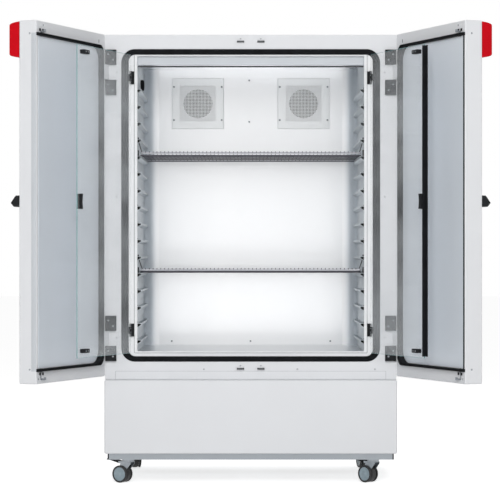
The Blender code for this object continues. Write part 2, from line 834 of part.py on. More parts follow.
def serpentine(low, high, z_low, z_high, y, rows, turns=4, leg=0.0):
    """A tube's route: straight runs up a coil, joined by half-round return bends.

    A leg is the length that each end turns back into the block that the tube serves.
    """
    pitch = (z_high - z_low) / (rows - 1)
    points = [(low, y + leg, z_low)] if leg else []
    for row in range(rows):
        z = z_low + row * pitch
        rightward = row % 2 == 0
        start, end = (low, high) if rightward else (high, low)
        points += [(start, y, z), (end, y, z)]
        if row < rows - 1:
            out = 1 if rightward else -1
            for step in range(1, turns):
                angle = math.pi * step / turns
                points.append((end + out * math.sin(angle) * pitch / 2, y,
                               z + pitch / 2 - math.cos(angle) * pitch / 2))
    if leg:
        points.append((points[-1][0], y + leg, z_high))
    return points


def evaporator_heights():
    high = FAN_Z - EVAPORATOR_DROP
    return high - EVAPORATOR_H, high


def make_evaporator(root):
    """A finned block in the plenum behind the back wall, with its tube in front of the fins."""
    back = CHAMBER_BACK + SHEET + PLENUM_D - GAP
    near = back - EVAPORATOR_D
    half = CHAMBER_W / 2 - EVAPORATOR_CLEAR
    low, high = evaporator_heights()
    fins = flat("evaporator", [comb(-half, half, near, back, 0.012, EVAPORATOR_PITCH, 0.002)],
                "XY", low, high, stainless(), root)
    tube_r = 0.005
    end = comb_reach(-half, half, EVAPORATOR_PITCH) - 0.0195
    route = serpentine(-end, end, low + 0.03, high - 0.03, near - tube_r - GAP, 5, leg=0.026)
    fuse(fins, wire("evaporator_tube", route, tube_r, stainless(), root, sides=1))


def make_heater(root):
    """The heater, a rod bent into a loop below the evaporator."""
    radius = 0.004
    half = CHAMBER_W / 2 - HEATER_CLEAR
    low = evaporator_heights()[0] - HEATER_DROP
    y = CHAMBER_BACK + SHEET + PLENUM_D - radius - GAP
    route = serpentine(-half, half, low, low + HEATER_H, y, 2, 6)
    wire("heater_element", route, radius, dark_steel(), root, sides=2)


def make_condenser(root):
    """A finned condenser at the back of the base, and its fan's shroud in front of it."""
    low = BASE_TOP
    high = low + CONDENSER_H
    back = CABINET_D - 2 * SHEET - 3 * GAP
    near = back - CONDENSER_D
    left, right = CONDENSER_X - CONDENSER_W / 2, CONDENSER_X + CONDENSER_W / 2
    tube_r = 0.004
    face = near + 2 * tube_r + 2 * GAP
    fins = flat("condenser", [comb(left, right, face, back, 0.010, CONDENSER_PITCH, 0.0015)],
                "XY", low, high, stainless(), root)
    reach = comb_reach(left, right, CONDENSER_PITCH) - 0.0065
    route = serpentine(CONDENSER_X - reach, CONDENSER_X + reach, low + 0.03, high - 0.03,
                       face - tube_r - GAP, 5, leg=0.022)
    fuse(fins, wire("condenser_tube", route, tube_r, stainless(), root, sides=1))
    start, end = near - GAP - SHROUD_D, near - GAP
    outer = rounded((left, right), (low, high), 0.010, 2)
    middle = (low + high) / 2
    hole = circle(CONDENSER_X, middle, CONDENSER_FAN_R + 0.005, 24)
    shroud = flat("condenser_shroud", [outer, hole], "XZ", start, end, black_plastic(), root)
    reach = CONDENSER_FAN_R + 0.015
    arm = box("shroud_arm", (CONDENSER_X - reach, CONDENSER_X + reach), (end - 0.006, end - 0.001),
              (middle - 0.007, middle + 0.007), black_plastic(), root)
    motor = rod("condenser_motor", 0.030, end - 0.018, end - 0.0015, "Y", (CONDENSER_X, middle),
                black_plastic(), root, 20)
    shaft = rod("condenser_shaft", SHAFT_R, end - 0.036, end - 0.010, "Y", (CONDENSER_X, middle),
                black_plastic(), root, 10)
    fuse(shroud, arm, motor, shaft)
    fan = empty("condenser_fan_axis", (CONDENSER_X, start + 0.010, middle), root)
    make_rotor("condenser_fan_rotor", fan, CONDENSER_FAN_R, 0.030, 0.018, BLADES, black_plastic())


# Chamber fittings

def make_fan_covers(root):
    """Pressed covers with a square grid of holes, standing off the back wall."""
    front = CHAMBER_BACK - GAP - FAN_COVER_D
    for side, name in ((-1, "fan_cover_left"), (1, "fan_cover_right")):
        x = side * FAN_X
        span = (x - FAN_COVER_W / 2, x + FAN_COVER_W / 2)
        rise = (FAN_Z - FAN_COVER_H / 2, FAN_Z + FAN_COVER_H / 2)
        edge = 0.003
        inner_span = (span[0] + edge, span[1] - edge)
        inner_rise = (rise[0] + edge, rise[1] - edge)
        rings = [(rounded(span, rise, 0.008, 2), CHAMBER_BACK - GAP),
                 (rounded(span, rise, 0.008, 2), front + edge),
                 (rounded(inner_span, inner_rise, 0.006, 2), front)]
        cover = pressed(name, rings, SHEET, stainless(), root)
        pitch = FAN_GRID_W / FAN_GRID
        hole = pitch - FAN_BAR
        bm = bmesh.new()
        for row in range(FAN_GRID):
            for column in range(FAN_GRID):
                place = Vector((x + (column - (FAN_GRID - 1) / 2) * pitch, front,
                                FAN_Z + (row - (FAN_GRID - 1) / 2) * pitch))
                size = Matrix.Diagonal((hole, 0.008, hole, 1.0))
                bmesh.ops.create_cube(bm, size=1.0, matrix=Matrix.Translation(place) @ size)
        cut(cover, add("fan_holes", bm, stainless(), root))


def loft(name, sections, mat, parent):
    """A solid through sections of equal counts of points, closed at both ends."""
    bm = bmesh.new()
    loops = [[bm.verts.new(point) for point in section] for section in sections]
    for first, second in zip(loops, loops[1:]):
        for index in range(len(first)):
            after = (index + 1) % len(first)
            bm.faces.new((first[index], first[after], second[after], second[index]))
    bm.faces.new(loops[0][::-1])
    bm.faces.new(loops[-1])
    return add(name, bm, mat, parent)


def blade_section(radius, chord, pitch, thickness, turn):
    """One section of a blade, wrapped on a cylinder about Y: a thin tapered plate."""
    points = []
    for along, across in ((-0.5, -0.3), (0.5, -0.3), (0.5, 0.3), (0.0, 0.5), (-0.5, 0.3)):
        tangent = along * chord * math.cos(pitch) - across * thickness * math.sin(pitch)
        axial = along * chord * math.sin(pitch) + across * thickness * math.cos(pitch)
        angle = turn + tangent / radius
        points.append((radius * math.cos(angle), axial, radius * math.sin(angle)))
    return points


def make_rotor(name, parent, radius, hub_r, depth, blades, mat):
    """A fan rotor about Y: a hub with twisted, tapered blades."""
    hub = rod(name, hub_r, -depth / 2, depth / 2, "Y", (0.0, 0.0), mat, parent, 20)
    cut(hub, rod("shaft_bore", SHAFT_R + GAP, -depth, depth, "Y", (0.0, 0.0), mat, parent, 10))
    thickness = 0.0022
    root_r = hub_r - 0.003
    for index in range(blades):
        turn = math.tau * index / blades
        sections = []
        for share in (0.0, 0.5, 1.0):
            at = root_r + (radius - root_r) * share
            pitch = math.radians(42 - 16 * share)
            chord = depth * (1.05 + 0.55 * share)
            sections.append(blade_section(at, chord, pitch, thickness, turn + 0.30 * share))
        fuse(hub, loft("blade", sections, mat, parent))
    return hub


def make_chamber_fans(root):
    """Two fans in the plenum: shroud tube, spider and motor are fixed, the rotor turns."""
    start = CHAMBER_BACK + SHEET + GAP
    depth = 0.044
    for side, name in ((-1, "left"), (1, "right")):
        place = Matrix.Translation((side * FAN_X, start, FAN_Z)) @ AXES["Y"]
        inner, outer = FAN_HOLE_R + 0.001, FAN_HOLE_R + 0.004
        profile = [(inner, 0.0), (inner, depth), (outer, depth), (outer, 0.002),
                   (outer + 0.006, 0.002), (outer + 0.006, 0.0)]
        shroud = turned("fan_motor_" + name, profile, dark_steel(), root, place, 16)
        arms = [box("arm", (side * FAN_X - outer + 0.001, side * FAN_X + outer - 0.001),
                    (start + depth - 0.006, start + depth - 0.001), (FAN_Z - 0.006, FAN_Z + 0.006),
                    stainless(), root),
                box("arm", (side * FAN_X - 0.006, side * FAN_X + 0.006),
                    (start + depth - 0.0058, start + depth - 0.0012),
                    (FAN_Z - outer + 0.001, FAN_Z + outer - 0.001), stainless(), root),
                rod("motor", 0.028, start + depth - 0.010, start + depth + 0.020, "Y",
                    (side * FAN_X, FAN_Z), stainless(), root, 12),
                rod("shaft", SHAFT_R, start + 0.006, start + depth, "Y", (side * FAN_X, FAN_Z),
                    stainless(), root, 10)]
        fuse(shroud, *arms)
        axis = empty("fan_axis_" + name, (side * FAN_X, start + 0.016, FAN_Z), root)
        make_rotor("fan_rotor_" + name, axis, FAN_R, 0.024, 0.024, BLADES, black_plastic())


def make_port(root):
    """A sleeve through the left wall, and the stopper that closes it."""
    outer_x = CABINET_W / 2
    inner_x = CHAMBER_W / 2
    flange = 0.003
    bore = PORT_R - PORT_WALL
    length = outer_x - inner_x + GAP
    profile = [(bore, 0.0), (PORT_R, 0.0), (PORT_R, length), (PORT_R + 0.009, length),
               (PORT_R + 0.009, length + flange), (bore, length + flange)]
    place = Matrix.Translation((-inner_x, PORT_Y, PORT_Z)) @ Matrix.Rotation(math.radians(-90), 4, "Y")
    turned("port_sleeve", profile, white_plastic(), root, place, 20)
    axis = empty("port_axis", (-inner_x, PORT_Y, PORT_Z), root)
    head = length + flange + GAP
    plug = [(0.0, head + 0.010), (PORT_R + 0.001, head + 0.010), (PORT_R + 0.004, head + 0.006),
            (PORT_R + 0.004, head), (bore - 0.001, head), (bore - 0.002, 0.004),
            (bore - 0.005, 0.0), (0.0, 0.0)]
    screwed("port_plug", plug, black_rubber(), axis, Matrix.Rotation(math.radians(-90), 4, "Y"), 20)


def make_shelf(name, root, level):
    """A wire shelf: a rod frame on two rails, cross rods, and wires lying on them."""
    half = SHELF_W / 2 - ROD_R
    front, back = SHELF_FRONT, SHELF_FRONT + SHELF_D
    z = rail_height(level) + GAP + ROD_R
    loop = [(x, y, z) for x, y in rounded((-half, half), (front + ROD_R, back - ROD_R), 0.015, 3)]
    frame = wire(name, loop, ROD_R, dark_steel(), root, closed=True, sides=1)
    for share in (1 / 3, 2 / 3):
        y = front + SHELF_D * share
        fuse(frame, box("cross_rod", (-half, half), (y - CROSS_ROD / 2, y + CROSS_ROD / 2),
                        (z - CROSS_ROD / 2, z + CROSS_ROD / 2), dark_steel(), root))
    rise = (z + ROD_R - WELD, z + ROD_R - WELD + 2 * WIRE_R)
    parts = []
    count = int((2 * half - 0.020) / WIRE_PITCH)
    for index in range(count):
        x = (index - (count - 1) / 2) * WIRE_PITCH
        parts.append(box("shelf_wire", (x - WIRE_R, x + WIRE_R),
                         (front + ROD_R * 0.6, back - ROD_R * 0.6), rise, dark_steel(), root))
    fuse(frame, gathered("shelf_wires", parts, dark_steel(), root))


# Hinges and latches on the cabinet

def hinge_heights():
    return DOOR_BOTTOM + HINGE_FROM_END, CABINET_TOP - HINGE_FROM_END


def glass_hinge_heights():
    return GLASS_BOTTOM + GLASS_HINGE_FROM_END, GLASS_TOP - GLASS_HINGE_FROM_END


def hinge_block_offset():
    """Half the distance between the two blocks of a hinge, which its knuckle fills."""
    return HINGE_BLOCK_H / 2 + 0.0327


def make_door_hinges(root):
    """Two blocks and a pin for each hinge; the block's front edge is cut to let the door past."""
    out_x = HINGE_X + HINGE_KNUCKLE_R - 0.0005
    in_x = CABINET_W / 2 - HINGE_BLOCK_W
    front = HINGE_Y - HINGE_KNUCKLE_R
    nose = 0.0045
    outline = [(in_x, -GAP), (out_x, -GAP), (out_x, front + nose), (out_x - nose, front),
               (in_x + 0.006, front), (in_x, front + 0.006)]
    for side, where in ((-1, "left"), (1, "right")):
        for z, level in zip(hinge_heights(), ("lower", "upper")):
            low, high = z - hinge_block_offset(), z + hinge_block_offset()
            shape = [(side * x, y) for x, y in outline]
            lower = flat("door_hinge_%s_%s" % (where, level), [shape], "XY", low - HINGE_BLOCK_H / 2,
                         low + HINGE_BLOCK_H / 2, black_plastic(), root)
            upper = flat("hinge_block", [shape], "XY", high - HINGE_BLOCK_H / 2,
                         high + HINGE_BLOCK_H / 2, black_plastic(), root)
            pin = rod("hinge_pin", HINGE_PIN_R, low - 0.010, high + 0.010, "Z",
                      (side * HINGE_X, HINGE_Y), black_plastic(), root, 12)
            fuse(lower, gathered("hinge_rest", [fuse(upper, pin)], black_plastic(), root))


def make_keepers(root):
    """Staples let into the front frame, which the latch hooks rise behind."""
    keepers = []
    wall = KEEPER_WALL
    bar_front, bar_back = -KEEPER_PROUD, -KEEPER_PROUD + wall
    for side in (-1, 1):
        x0, x1 = side * LATCH_X - KEEPER_W / 2, side * LATCH_X + KEEPER_W / 2
        seat = 0.003
        outline = [(x0, seat), (x0, bar_front), (x1, bar_front), (x1, seat), (x1 - wall, seat),
                   (x1 - wall, bar_back), (x0 + wall, bar_back), (x0 + wall, seat)]
        for z in (LATCH_BOTTOM_Z, LATCH_TOP_Z):
            keepers.append(flat("keeper", [outline], "XY", z - KEEPER_BAR, z + KEEPER_BAR,
                                zinc(), root))
    return keepers


def make_glass_hinge_mounts(root):
    """Lugs with a pin on the lip, two for each glass door."""
    mounts = []
    for side in (-1, 1):
        for z in glass_hinge_heights():
            plate = box("glass_hinge_plate", side_x(side, GLASS_X - 0.0142, GLASS_X + 0.0055),
                        (LIP_SETBACK - 0.003, LIP_SETBACK + 0.002),
                        (z - GLASS_HINGE_H / 2, z + GLASS_HINGE_H / 2), black_plastic(), root)
            parts = []
            for end in (-1, 1):
                tip = z + end * GLASS_HINGE_H / 2
                base = tip - end * GLASS_LUG_H
                parts.append(box("lug", side_x(side, GLASS_X - GLASS_LUG_R, GLASS_X + GLASS_LUG_R),
                                 (GLASS_Y, LIP_SETBACK - 0.002), (base, tip - end * 0.0002),
                                 black_plastic(), root))
                parts.append(rod("lug_eye", GLASS_LUG_R, min(base, tip), max(base, tip), "Z",
                                 (side * GLASS_X, GLASS_Y), black_plastic(), root, 8))
            parts.append(rod("lug_pin", 0.0025, z - GLASS_HINGE_H / 2 + 0.003,
                             z + GLASS_HINGE_H / 2 - 0.003, "Z", (side * GLASS_X, GLASS_Y),
                             black_plastic(), root, 6))
            mounts.append(fuse(plate, *parts))
    return mounts


# Outer doors, in the frame of their hinge axis: u runs from the axis to the free edge

def door_spans():
    """The door's reach from its hinge axis, and its inner and outer face in hinge frame."""
    free = HINGE_X - DOOR_MEET / 2
    inner = -DOOR_GAP - HINGE_Y
    return -DOOR_SIDE, free, inner, inner - DOOR_T


def across(side, *reach):
    """Carry reaches from the hinge axis to local x, for the left or the right door."""
    return tuple(-side * value for value in reach)


def gasket_edge():
    """Where the door gasket's inner side starts, as a reach from the hinge axis."""
    return HINGE_X - OPENING_W / 2 - FRAME_GASKET_W - 0.0005


def make_door_shell(side, name, axis):
    """The foam-filled door body, with welded knuckles and a groove for the latch rod."""
    near, free, inner, outer = door_spans()
    shell = box(name, across(side, near, free), (outer, inner), (DOOR_BOTTOM, CABINET_TOP),
                door_paint(), axis, 0.003)
    reach = HINGE_X - LATCH_X
    half = HOOK_W / 2 + GAP
    groove = box("rod_groove", across(side, reach - half, reach + half),
                 (inner - ROD_DEPTH - GAP, inner + 0.01),
                 (LATCH_BOTTOM_Z - 0.0165 - RUN, LATCH_TOP_Z - 0.0105 + LATCH_TRAVEL + RUN),
                 door_paint(), axis)
    cut(shell, groove)
    knuckle_half = hinge_block_offset() - HINGE_BLOCK_H / 2 - RUN
    knuckle_reach = gasket_edge() - GASKET_SIDE_W - KNUCKLE_CLEAR
    for z in hinge_heights():
        knuckle = box("knuckle", across(side, -HINGE_KNUCKLE_R, knuckle_reach),
                      (inner - 0.004, HINGE_KNUCKLE_R), (z - knuckle_half, z + knuckle_half),
                      door_paint(), axis, 0.002)
        fuse(shell, knuckle)
        bore = rod("knuckle_bore", HINGE_PIN_R + GAP, z - knuckle_half - 0.01,
                   z + knuckle_half + 0.01, "Z", (0.0, 0.0), door_paint(), axis, 12)
        cut(shell, bore)


def make_door_liner(side, name, axis):
    """The door's inner skin: a flat rim inside the gasket and a pressed, raised field."""
    _, free, inner, _ = door_spans()
    first, last = gasket_edge() + 0.002, free - 0.016
    low = OPENING_BOTTOM - FRAME_GASKET_H + 0.002
    high = OPENING_TOP + FRAME_GASKET_H - 0.002
    skin = inner + GAP + LINER_T
    rings = []
    for inset, rise, radius in ((0.0, 0.0, 0.058), (0.030, 0.0, 0.040), (0.040, LINER_RISE, 0.030)):
        x = across(side, first + inset, last - inset)
        rings.append((rounded(x, (low + inset, high - inset), radius), skin + rise))
    pressed(name, rings, LINER_T, stainless(), axis, facing=1)


def make_door_gasket(side, name, axis):
    """The outer seal: a channel of bellows gasket on three sides, thin on the right free edge."""
    _, free, inner, _ = door_spans()
    edge = gasket_edge()
    low = OPENING_BOTTOM - FRAME_GASKET_H - 0.0005
    high = OPENING_TOP + FRAME_GASKET_H + 0.0005
    start, end = inner + GAP, -HINGE_Y - GAP
    radius = OPENING_R + 0.028
    corner = []
    for step in range(7):
        angle = math.radians(180 - 15 * step)
        corner.append((edge + radius + radius * math.cos(angle), high - radius + radius * math.sin(angle)))
    inner_path = [(u, low + high - z) for u, z in corner[::-1]]
    inside = [(free, low)] + inner_path + corner + [(free, high)]
    outside = [(edge - GASKET_SIDE_W, low - GASKET_BAR_W), (edge - GASKET_SIDE_W, high + GASKET_BAR_W)]
    outline = [(free, low - GASKET_BAR_W)] + outside + [(free, high + GASKET_BAR_W)] + inside[::-1]
    shape = [(-side * u, z) for u, z in outline]
    ring = flat(name, [shape], "XZ", start, end, black_rubber(), axis)
    if side > 0:
        strip = box("free_edge_seal", across(side, free - 0.010, free - 0.004),
                    (start + 0.0002, start + 0.004), (low - 0.003, high + 0.003), black_rubber(), axis)
        fuse(ring, strip)


def make_door_housing(side, name, axis):
    """The red corner housing: a frustum at the top of the free edge."""
    _, free, _, outer = door_spans()
    high = CABINET_TOP - 0.003
    low = high - HOUSING_H
    first = free - HOUSING_W
    back = outer - GAP
    t = HOUSING_TAPER
    stations = ((0.0, 0.0), (0.55, 0.35), (1.0, 1.0))
    sections = []
    for depth, share in stations:
        y = back - HOUSING_D * depth
        u0, z0, z1 = first + 2 * t * share, low + t * share, high - t * share
        sections.append([(-side * u0, y, z0), (-side * free, y, z0),
                         (-side * free, y, z1), (-side * u0, y, z1)])
    body = loft(name, sections, red_plastic(), axis)
    if side > 0:
        middle_u = (first + free) / 2 + t
        middle_z = (low + high) / 2
        pocket = box("screen_pocket",
                     across(side, middle_u - SCREEN_W / 2 - GAP, middle_u + SCREEN_W / 2 + GAP),
                     (back - HOUSING_D - 0.01, back - HOUSING_D + 0.0025),
                     (middle_z - SCREEN_H / 2 - GAP, middle_z + SCREEN_H / 2 + GAP),
                     red_plastic(), axis)
        cut(body, pocket)
        box("display_screen", across(side, middle_u - SCREEN_W / 2, middle_u + SCREEN_W / 2),
            (back - HOUSING_D + 0.0002, back - HOUSING_D + 0.0022),
            (middle_z - SCREEN_H / 2, middle_z + SCREEN_H / 2), black_plastic(), axis)


def make_latch_rod(side, name, axis):
    """One flat rod in the door's groove with a hook at each end, which rise together."""
    _, _, inner, _ = door_spans()
    spine_back, spine_front = inner - ROD_DEPTH, inner - ROD_DEPTH + 0.006
    tip_start, tip_end = -HINGE_Y - 0.0075, -HINGE_Y - 0.0035
    outline = [(spine_back, LATCH_BOTTOM_Z - 0.0165)]
    for z in (LATCH_BOTTOM_Z, LATCH_TOP_Z):
        if z == LATCH_TOP_Z:
            outline.append((spine_front, z - 0.0165))
        outline += [(tip_end, z - 0.0165), (tip_end, z - 0.005), (tip_start, z - 0.005),
                    (tip_start, z - 0.0105)]
        if z == LATCH_BOTTOM_Z:
            outline.append((spine_front, z - 0.0105))
    outline.append((spine_back, LATCH_TOP_Z - 0.0105))
    reach = -side * (HINGE_X - LATCH_X)
    flat(name, [outline], "YZ", reach - HOOK_W / 2, reach + HOOK_W / 2, zinc(), axis)


def make_handle(side, name, axis):
    """A lever: a deep boss on the pivot and a tapering grip that stands off the door."""
    _, free, _, outer = door_spans()
    face = outer - GAP
    pivot = empty(name + "_axis", (-side * (free - HANDLE_FROM_EDGE), face, HANDLE_Z), axis)
    deep = HANDLE_STAND + HANDLE_D
    half = HANDLE_H / 2

    def section(u, start, depth, tall):
        shape = ((start, 1.0), (start + 0.45 * (depth - start), 1.0), (depth, -0.35),
                 (start + 0.75 * (depth - start), -1.0), (start, -1.0))
        return [(-side * u, -y, z * tall) for y, z in shape]

    boss = loft(name, [section(0.030, 0.0, deep * 0.97, half * 0.96), section(0.026, 0.0, deep, half),
                       section(-0.024, 0.0, deep, half), section(-0.032, 0.0, deep * 0.93, half * 0.92)],
                black_plastic(), pivot)
    grip = loft("grip", [section(-0.010, HANDLE_STAND + 0.003, deep - 0.001, half * 0.97),
                         section(-0.060, HANDLE_STAND + 0.004, deep - 0.003, half * 0.80),
                         section(-0.120, HANDLE_STAND + 0.005, deep - 0.005, half * 0.70),
                         section(-HANDLE_L + 0.030, HANDLE_STAND + 0.008, deep - 0.010, half * 0.58)],
                black_plastic(), pivot)
    fuse(boss, grip)


# Glass doors, in the frame of their own hinge axis

def make_glass_door(side, name, root):
    """A frameless pane with its bonded fittings: hinge clamps, catches and a grip."""
    turn = side * math.radians(OPEN_ANGLE)
    axis = empty("glass_axis_" + name, (side * GLASS_X, GLASS_Y, 0.0), root, turn)
    free = GLASS_EDGE + GLASS_W
    outline = rounded(across(side, GLASS_EDGE, free), (GLASS_BOTTOM, GLASS_TOP), GLASS_R, 2)
    pane = flat("glass_door_" + name, [outline], "XZ", 0.0, GLASS_T, glass(), axis)
    bond = 0.0005
    parts = [glass_clamp(side, z, axis) for z in glass_hinge_heights()]
    for z in (GLASS_BOTTOM + 0.029, GLASS_TOP - 0.029):
        parts.append(box("glass_catch", across(side, free - 0.068, free - 0.020),
                         (GLASS_T - bond, GLASS_T + 0.022), (z - 0.011, z + 0.011),
                         black_plastic(), axis, 0.003))
    middle_z = (GLASS_BOTTOM + GLASS_TOP) / 2
    for start, end in ((-0.005, bond), (GLASS_T - bond, GLASS_T + 0.009)):
        parts.append(box("glass_grip", across(side, free - 0.036, free - 0.012), (start, end),
                         (middle_z - 0.031, middle_z + 0.031), black_plastic(), axis, 0.002))
    fuse(pane, gathered("glass_fittings", parts, black_plastic(), axis))
    if side > 0:
        lip = free + 2 * GLASS_MEET + 0.006
        outline = [(free - 0.008, -0.0033), (lip, -0.0033), (lip, -GAP), (free + 0.0035, -GAP),
                   (free + 0.0035, GLASS_T + 0.0035), (free - 0.008, GLASS_T + 0.0035),
                   (free - 0.008, GLASS_T + GAP), (free + GAP, GLASS_T + GAP), (free + GAP, -GAP),
                   (free - 0.008, -GAP)]
        shape = [(-side * u, y) for u, y in outline]
        flat("glass_seal_strip", [shape], "XY", CHAMBER_BOTTOM + RUN, CHAMBER_TOP - RUN,
             black_rubber(), axis)


def glass_clamp(side, z, axis):
    """A clamp on the pane's edge: two cheeks, a web round the edge and a bored eye."""
    half = GLASS_HINGE_H / 2 - GLASS_LUG_H - RUN
    eye = rod("glass_clamp", GLASS_LUG_R, z - half, z + half, "Z", (0.0, 0.0),
              black_plastic(), axis, 12)
    block = box("clamp_block", across(side, 0.001, GLASS_EDGE + 0.036), (-0.0035, GLASS_T + 0.0028),
                (z - half, z + half), black_plastic(), axis)
    bore = rod("clamp_bore", 0.0025 + GAP, z - half - 0.005, z + half + 0.005, "Z", (0.0, 0.0),
               black_plastic(), axis, 8)
    return cut(fuse(eye, block), bore)


# Casters

def caster_places():
    return (("front_left", -CASTER_X, CASTER_FRONT_Y, 60), ("front_right", CASTER_X, CASTER_FRONT_Y, 45),
            ("rear_left", -CASTER_X, CASTER_REAR_Y, 15), ("rear_right", CASTER_X, CASTER_REAR_Y, 15))


def make_caster_plates(root):
    """Plates under the base frame, each with the fixed race of a caster's swivel."""
    plates = []
    race = 0.010
    for _, x, y, _ in caster_places():
        plate = box("caster_plate", (x - PLATE_W / 2, x + PLATE_W / 2), (y - PLATE_D / 2, y + PLATE_D / 2),
                    (CASTER_H - 0.003, CASTER_H + 0.002), zinc(), root)
        ring = rod("race", 0.026, CASTER_H - 0.003 - race, CASTER_H - 0.001, "Z", (x, y), zinc(),
                   root, 14)
        plates.append(fuse(plate, ring))
    return plates


def make_caster(name, x, y, turn, root):
    """A swivel fork, its wheel, and on the front casters a brake pedal over the wheel."""
    axis = empty("caster_axis_" + name, (x, y, 0.0), root, math.radians(turn))
    top = CASTER_H - 0.013 - GAP
    bridge_h = 0.0035
    leg_in = WHEEL_T / 2 + 0.0015
    leg_out = leg_in + 0.0025
    fork = flat("caster_fork_" + name,
                [rounded((-leg_out, leg_out), (-0.026, 0.030), 0.008, 1)], "XY",
                top - bridge_h, top, zinc(), axis)
    centre = (CASTER_TRAIL, WHEEL_R)
    tip = [(centre[0] + 0.011 * math.cos(math.radians(a)), centre[1] + 0.011 * math.sin(math.radians(a)))
           for a in (20, -25, -70, -115, -160)]
    outline = tip + [(-0.022, top - 0.010), (-0.022, top - 0.001), (0.028, top - 0.001)]
    for end in (-1, 1):
        span = sorted((end * leg_in, end * leg_out))
        fuse(fork, flat("leg", [outline], "YZ", span[0], span[1], zinc(), axis))
    fuse(fork, rod("axle", AXLE_R, -leg_out - 0.003, leg_out + 0.003, "X", centre, zinc(), axis, 8))
    wheel_axis = empty("wheel_axis_" + name, (0.0, CASTER_TRAIL, WHEEL_R), axis)
    half = WHEEL_T / 2
    side_profile = [(AXLE_R + GAP, half - 0.001), (0.026, half - 0.004), (0.029, half),
                    (WHEEL_R, half - 0.003)]
    profile = side_profile + [(r, -h) for r, h in side_profile[::-1]]
    turned("caster_wheel_" + name, profile, black_rubber(), wheel_axis, AXES["X"], 16)
    if not name.startswith("front"):
        return
    pedal_y, pedal_z = 0.036, top - 0.006
    for end in (-1, 1):
        ear = box("ear", (end * 0.0145, end * 0.0173), (0.020, pedal_y + 0.004),
                  (pedal_z - 0.004, top - 0.0005), zinc(), axis)
        fuse(fork, ear)
    fuse(fork, rod("pedal_pin", 0.002, -0.0165, 0.0165, "X", (pedal_y, pedal_z), zinc(), axis, 8))
    pedal_axis = empty("pedal_axis_" + name, (0.0, pedal_y, pedal_z), axis)
    outline = [(-0.0045, -0.0035), (-0.0045, 0.0035), (0.004, 0.0055), (0.045, 0.012),
               (0.066, 0.013), (0.068, 0.009), (0.046, 0.0065), (0.006, -0.0035)]
    pedal = flat("brake_pedal_" + name, [outline], "YZ", -0.0138, 0.0138, black_plastic(), pedal_axis)
    bore = rod("pedal_bore", 0.002 + GAP, -0.020, 0.020, "X", (0.0, 0.0), black_plastic(),
               pedal_axis, 8)
    cut(pedal, bore)


def centre_on_floor(root):
    """Move the whole object so that the origin is on the floor, under the middle of its box."""
    bpy.context.view_layer.update()
    graph = bpy.context.evaluated_depsgraph_get()
    corners = []
    for thing in COLLECTION.objects:
        if thing.type != "MESH":
            continue
        evaluated = thing.evaluated_get(graph)
        mesh = evaluated.to_mesh()
        corners += [evaluated.matrix_world @ vert.co for vert in mesh.vertices]
        evaluated.to_mesh_clear()
    middle = [(min(c[axis] for c in corners) + max(c[axis] for c in corners)) / 2 for axis in (0, 1)]
    root.location = (-middle[0], -middle[1], 0.0)


def main():
    clear_scene()
    make_collections()
    root = empty("incubator", (0.0, 0.0, 0.0))
    make_base_frame(root)
    make_base_front(root)
    make_casing(root)
    make_rear_panel(root)
    make_mains_inlet(root)
    make_front_frame(root)
    make_frame_gasket(root)
    make_lip(root)
    make_chamber_walls(root)
    make_chamber_back_and_floor(root)
    make_insulation(root)
    make_compressor(root)
    make_evaporator(root)
    make_heater(root)
    make_condenser(root)
    make_fan_covers(root)
    make_chamber_fans(root)
    make_port(root)
    make_shelf("shelf_upper", root, UPPER_RAIL)
    make_shelf("shelf_lower", root, LOWER_RAIL)
    make_door_hinges(root)
    for side, name in ((-1, "left"), (1, "right")):
        turn = side * math.radians(OPEN_ANGLE)
        axis = empty("door_axis_" + name, (side * HINGE_X, HINGE_Y, 0.0), root, turn)
        make_door_shell(side, "door_shell_" + name, axis)
        make_door_liner(side, "door_liner_" + name, axis)
        make_door_gasket(side, "door_gasket_" + name, axis)
        make_door_housing(side, "door_housing_" + name, axis)
        make_latch_rod(side, "latch_rod_" + name, axis)
        make_handle(side, "door_handle_" + name, axis)
        make_glass_door(side, name, root)
    for name, x, y, turn in caster_places():
        make_caster(name, x, y, turn, root)
    centre_on_floor(root)


main()
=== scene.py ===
"""Looks of a refrigerated incubator with double doors, laid out as an add-on.

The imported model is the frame: its nodes keep their places and get finishes, and detailed
pieces are added on them or stand for them. Lengths are in metres. Run as a script.
"""
import json
import math

import bmesh
import bpy
import numpy as np
from bpy.props import FloatProperty, FloatVectorProperty, IntProperty, PointerProperty
from mathutils import Matrix, Vector


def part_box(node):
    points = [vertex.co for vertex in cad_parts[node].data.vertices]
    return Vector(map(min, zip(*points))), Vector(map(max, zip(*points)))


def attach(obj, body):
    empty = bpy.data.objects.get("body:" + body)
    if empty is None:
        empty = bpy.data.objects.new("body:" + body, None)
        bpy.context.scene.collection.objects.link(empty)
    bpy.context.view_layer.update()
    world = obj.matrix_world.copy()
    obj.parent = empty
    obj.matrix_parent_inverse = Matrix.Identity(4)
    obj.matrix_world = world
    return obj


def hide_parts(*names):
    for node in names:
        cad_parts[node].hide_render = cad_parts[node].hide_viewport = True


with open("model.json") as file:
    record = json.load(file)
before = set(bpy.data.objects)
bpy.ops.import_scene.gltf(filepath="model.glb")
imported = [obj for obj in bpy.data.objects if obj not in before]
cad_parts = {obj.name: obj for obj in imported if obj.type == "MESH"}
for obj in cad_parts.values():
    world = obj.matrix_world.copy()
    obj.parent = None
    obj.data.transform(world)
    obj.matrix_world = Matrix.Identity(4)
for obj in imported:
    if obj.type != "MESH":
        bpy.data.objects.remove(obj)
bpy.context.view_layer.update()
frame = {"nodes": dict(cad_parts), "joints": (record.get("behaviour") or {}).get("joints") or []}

bl_info = {
    "name": "Refrigerated incubator",
    "version": (1, 0, 0),
    "blender": (4, 5, 0),
    "location": "3D View > Sidebar > Incubator",
    "description": "Finishes and fine pieces for a refrigerated incubator",
    "category": "Object",
}

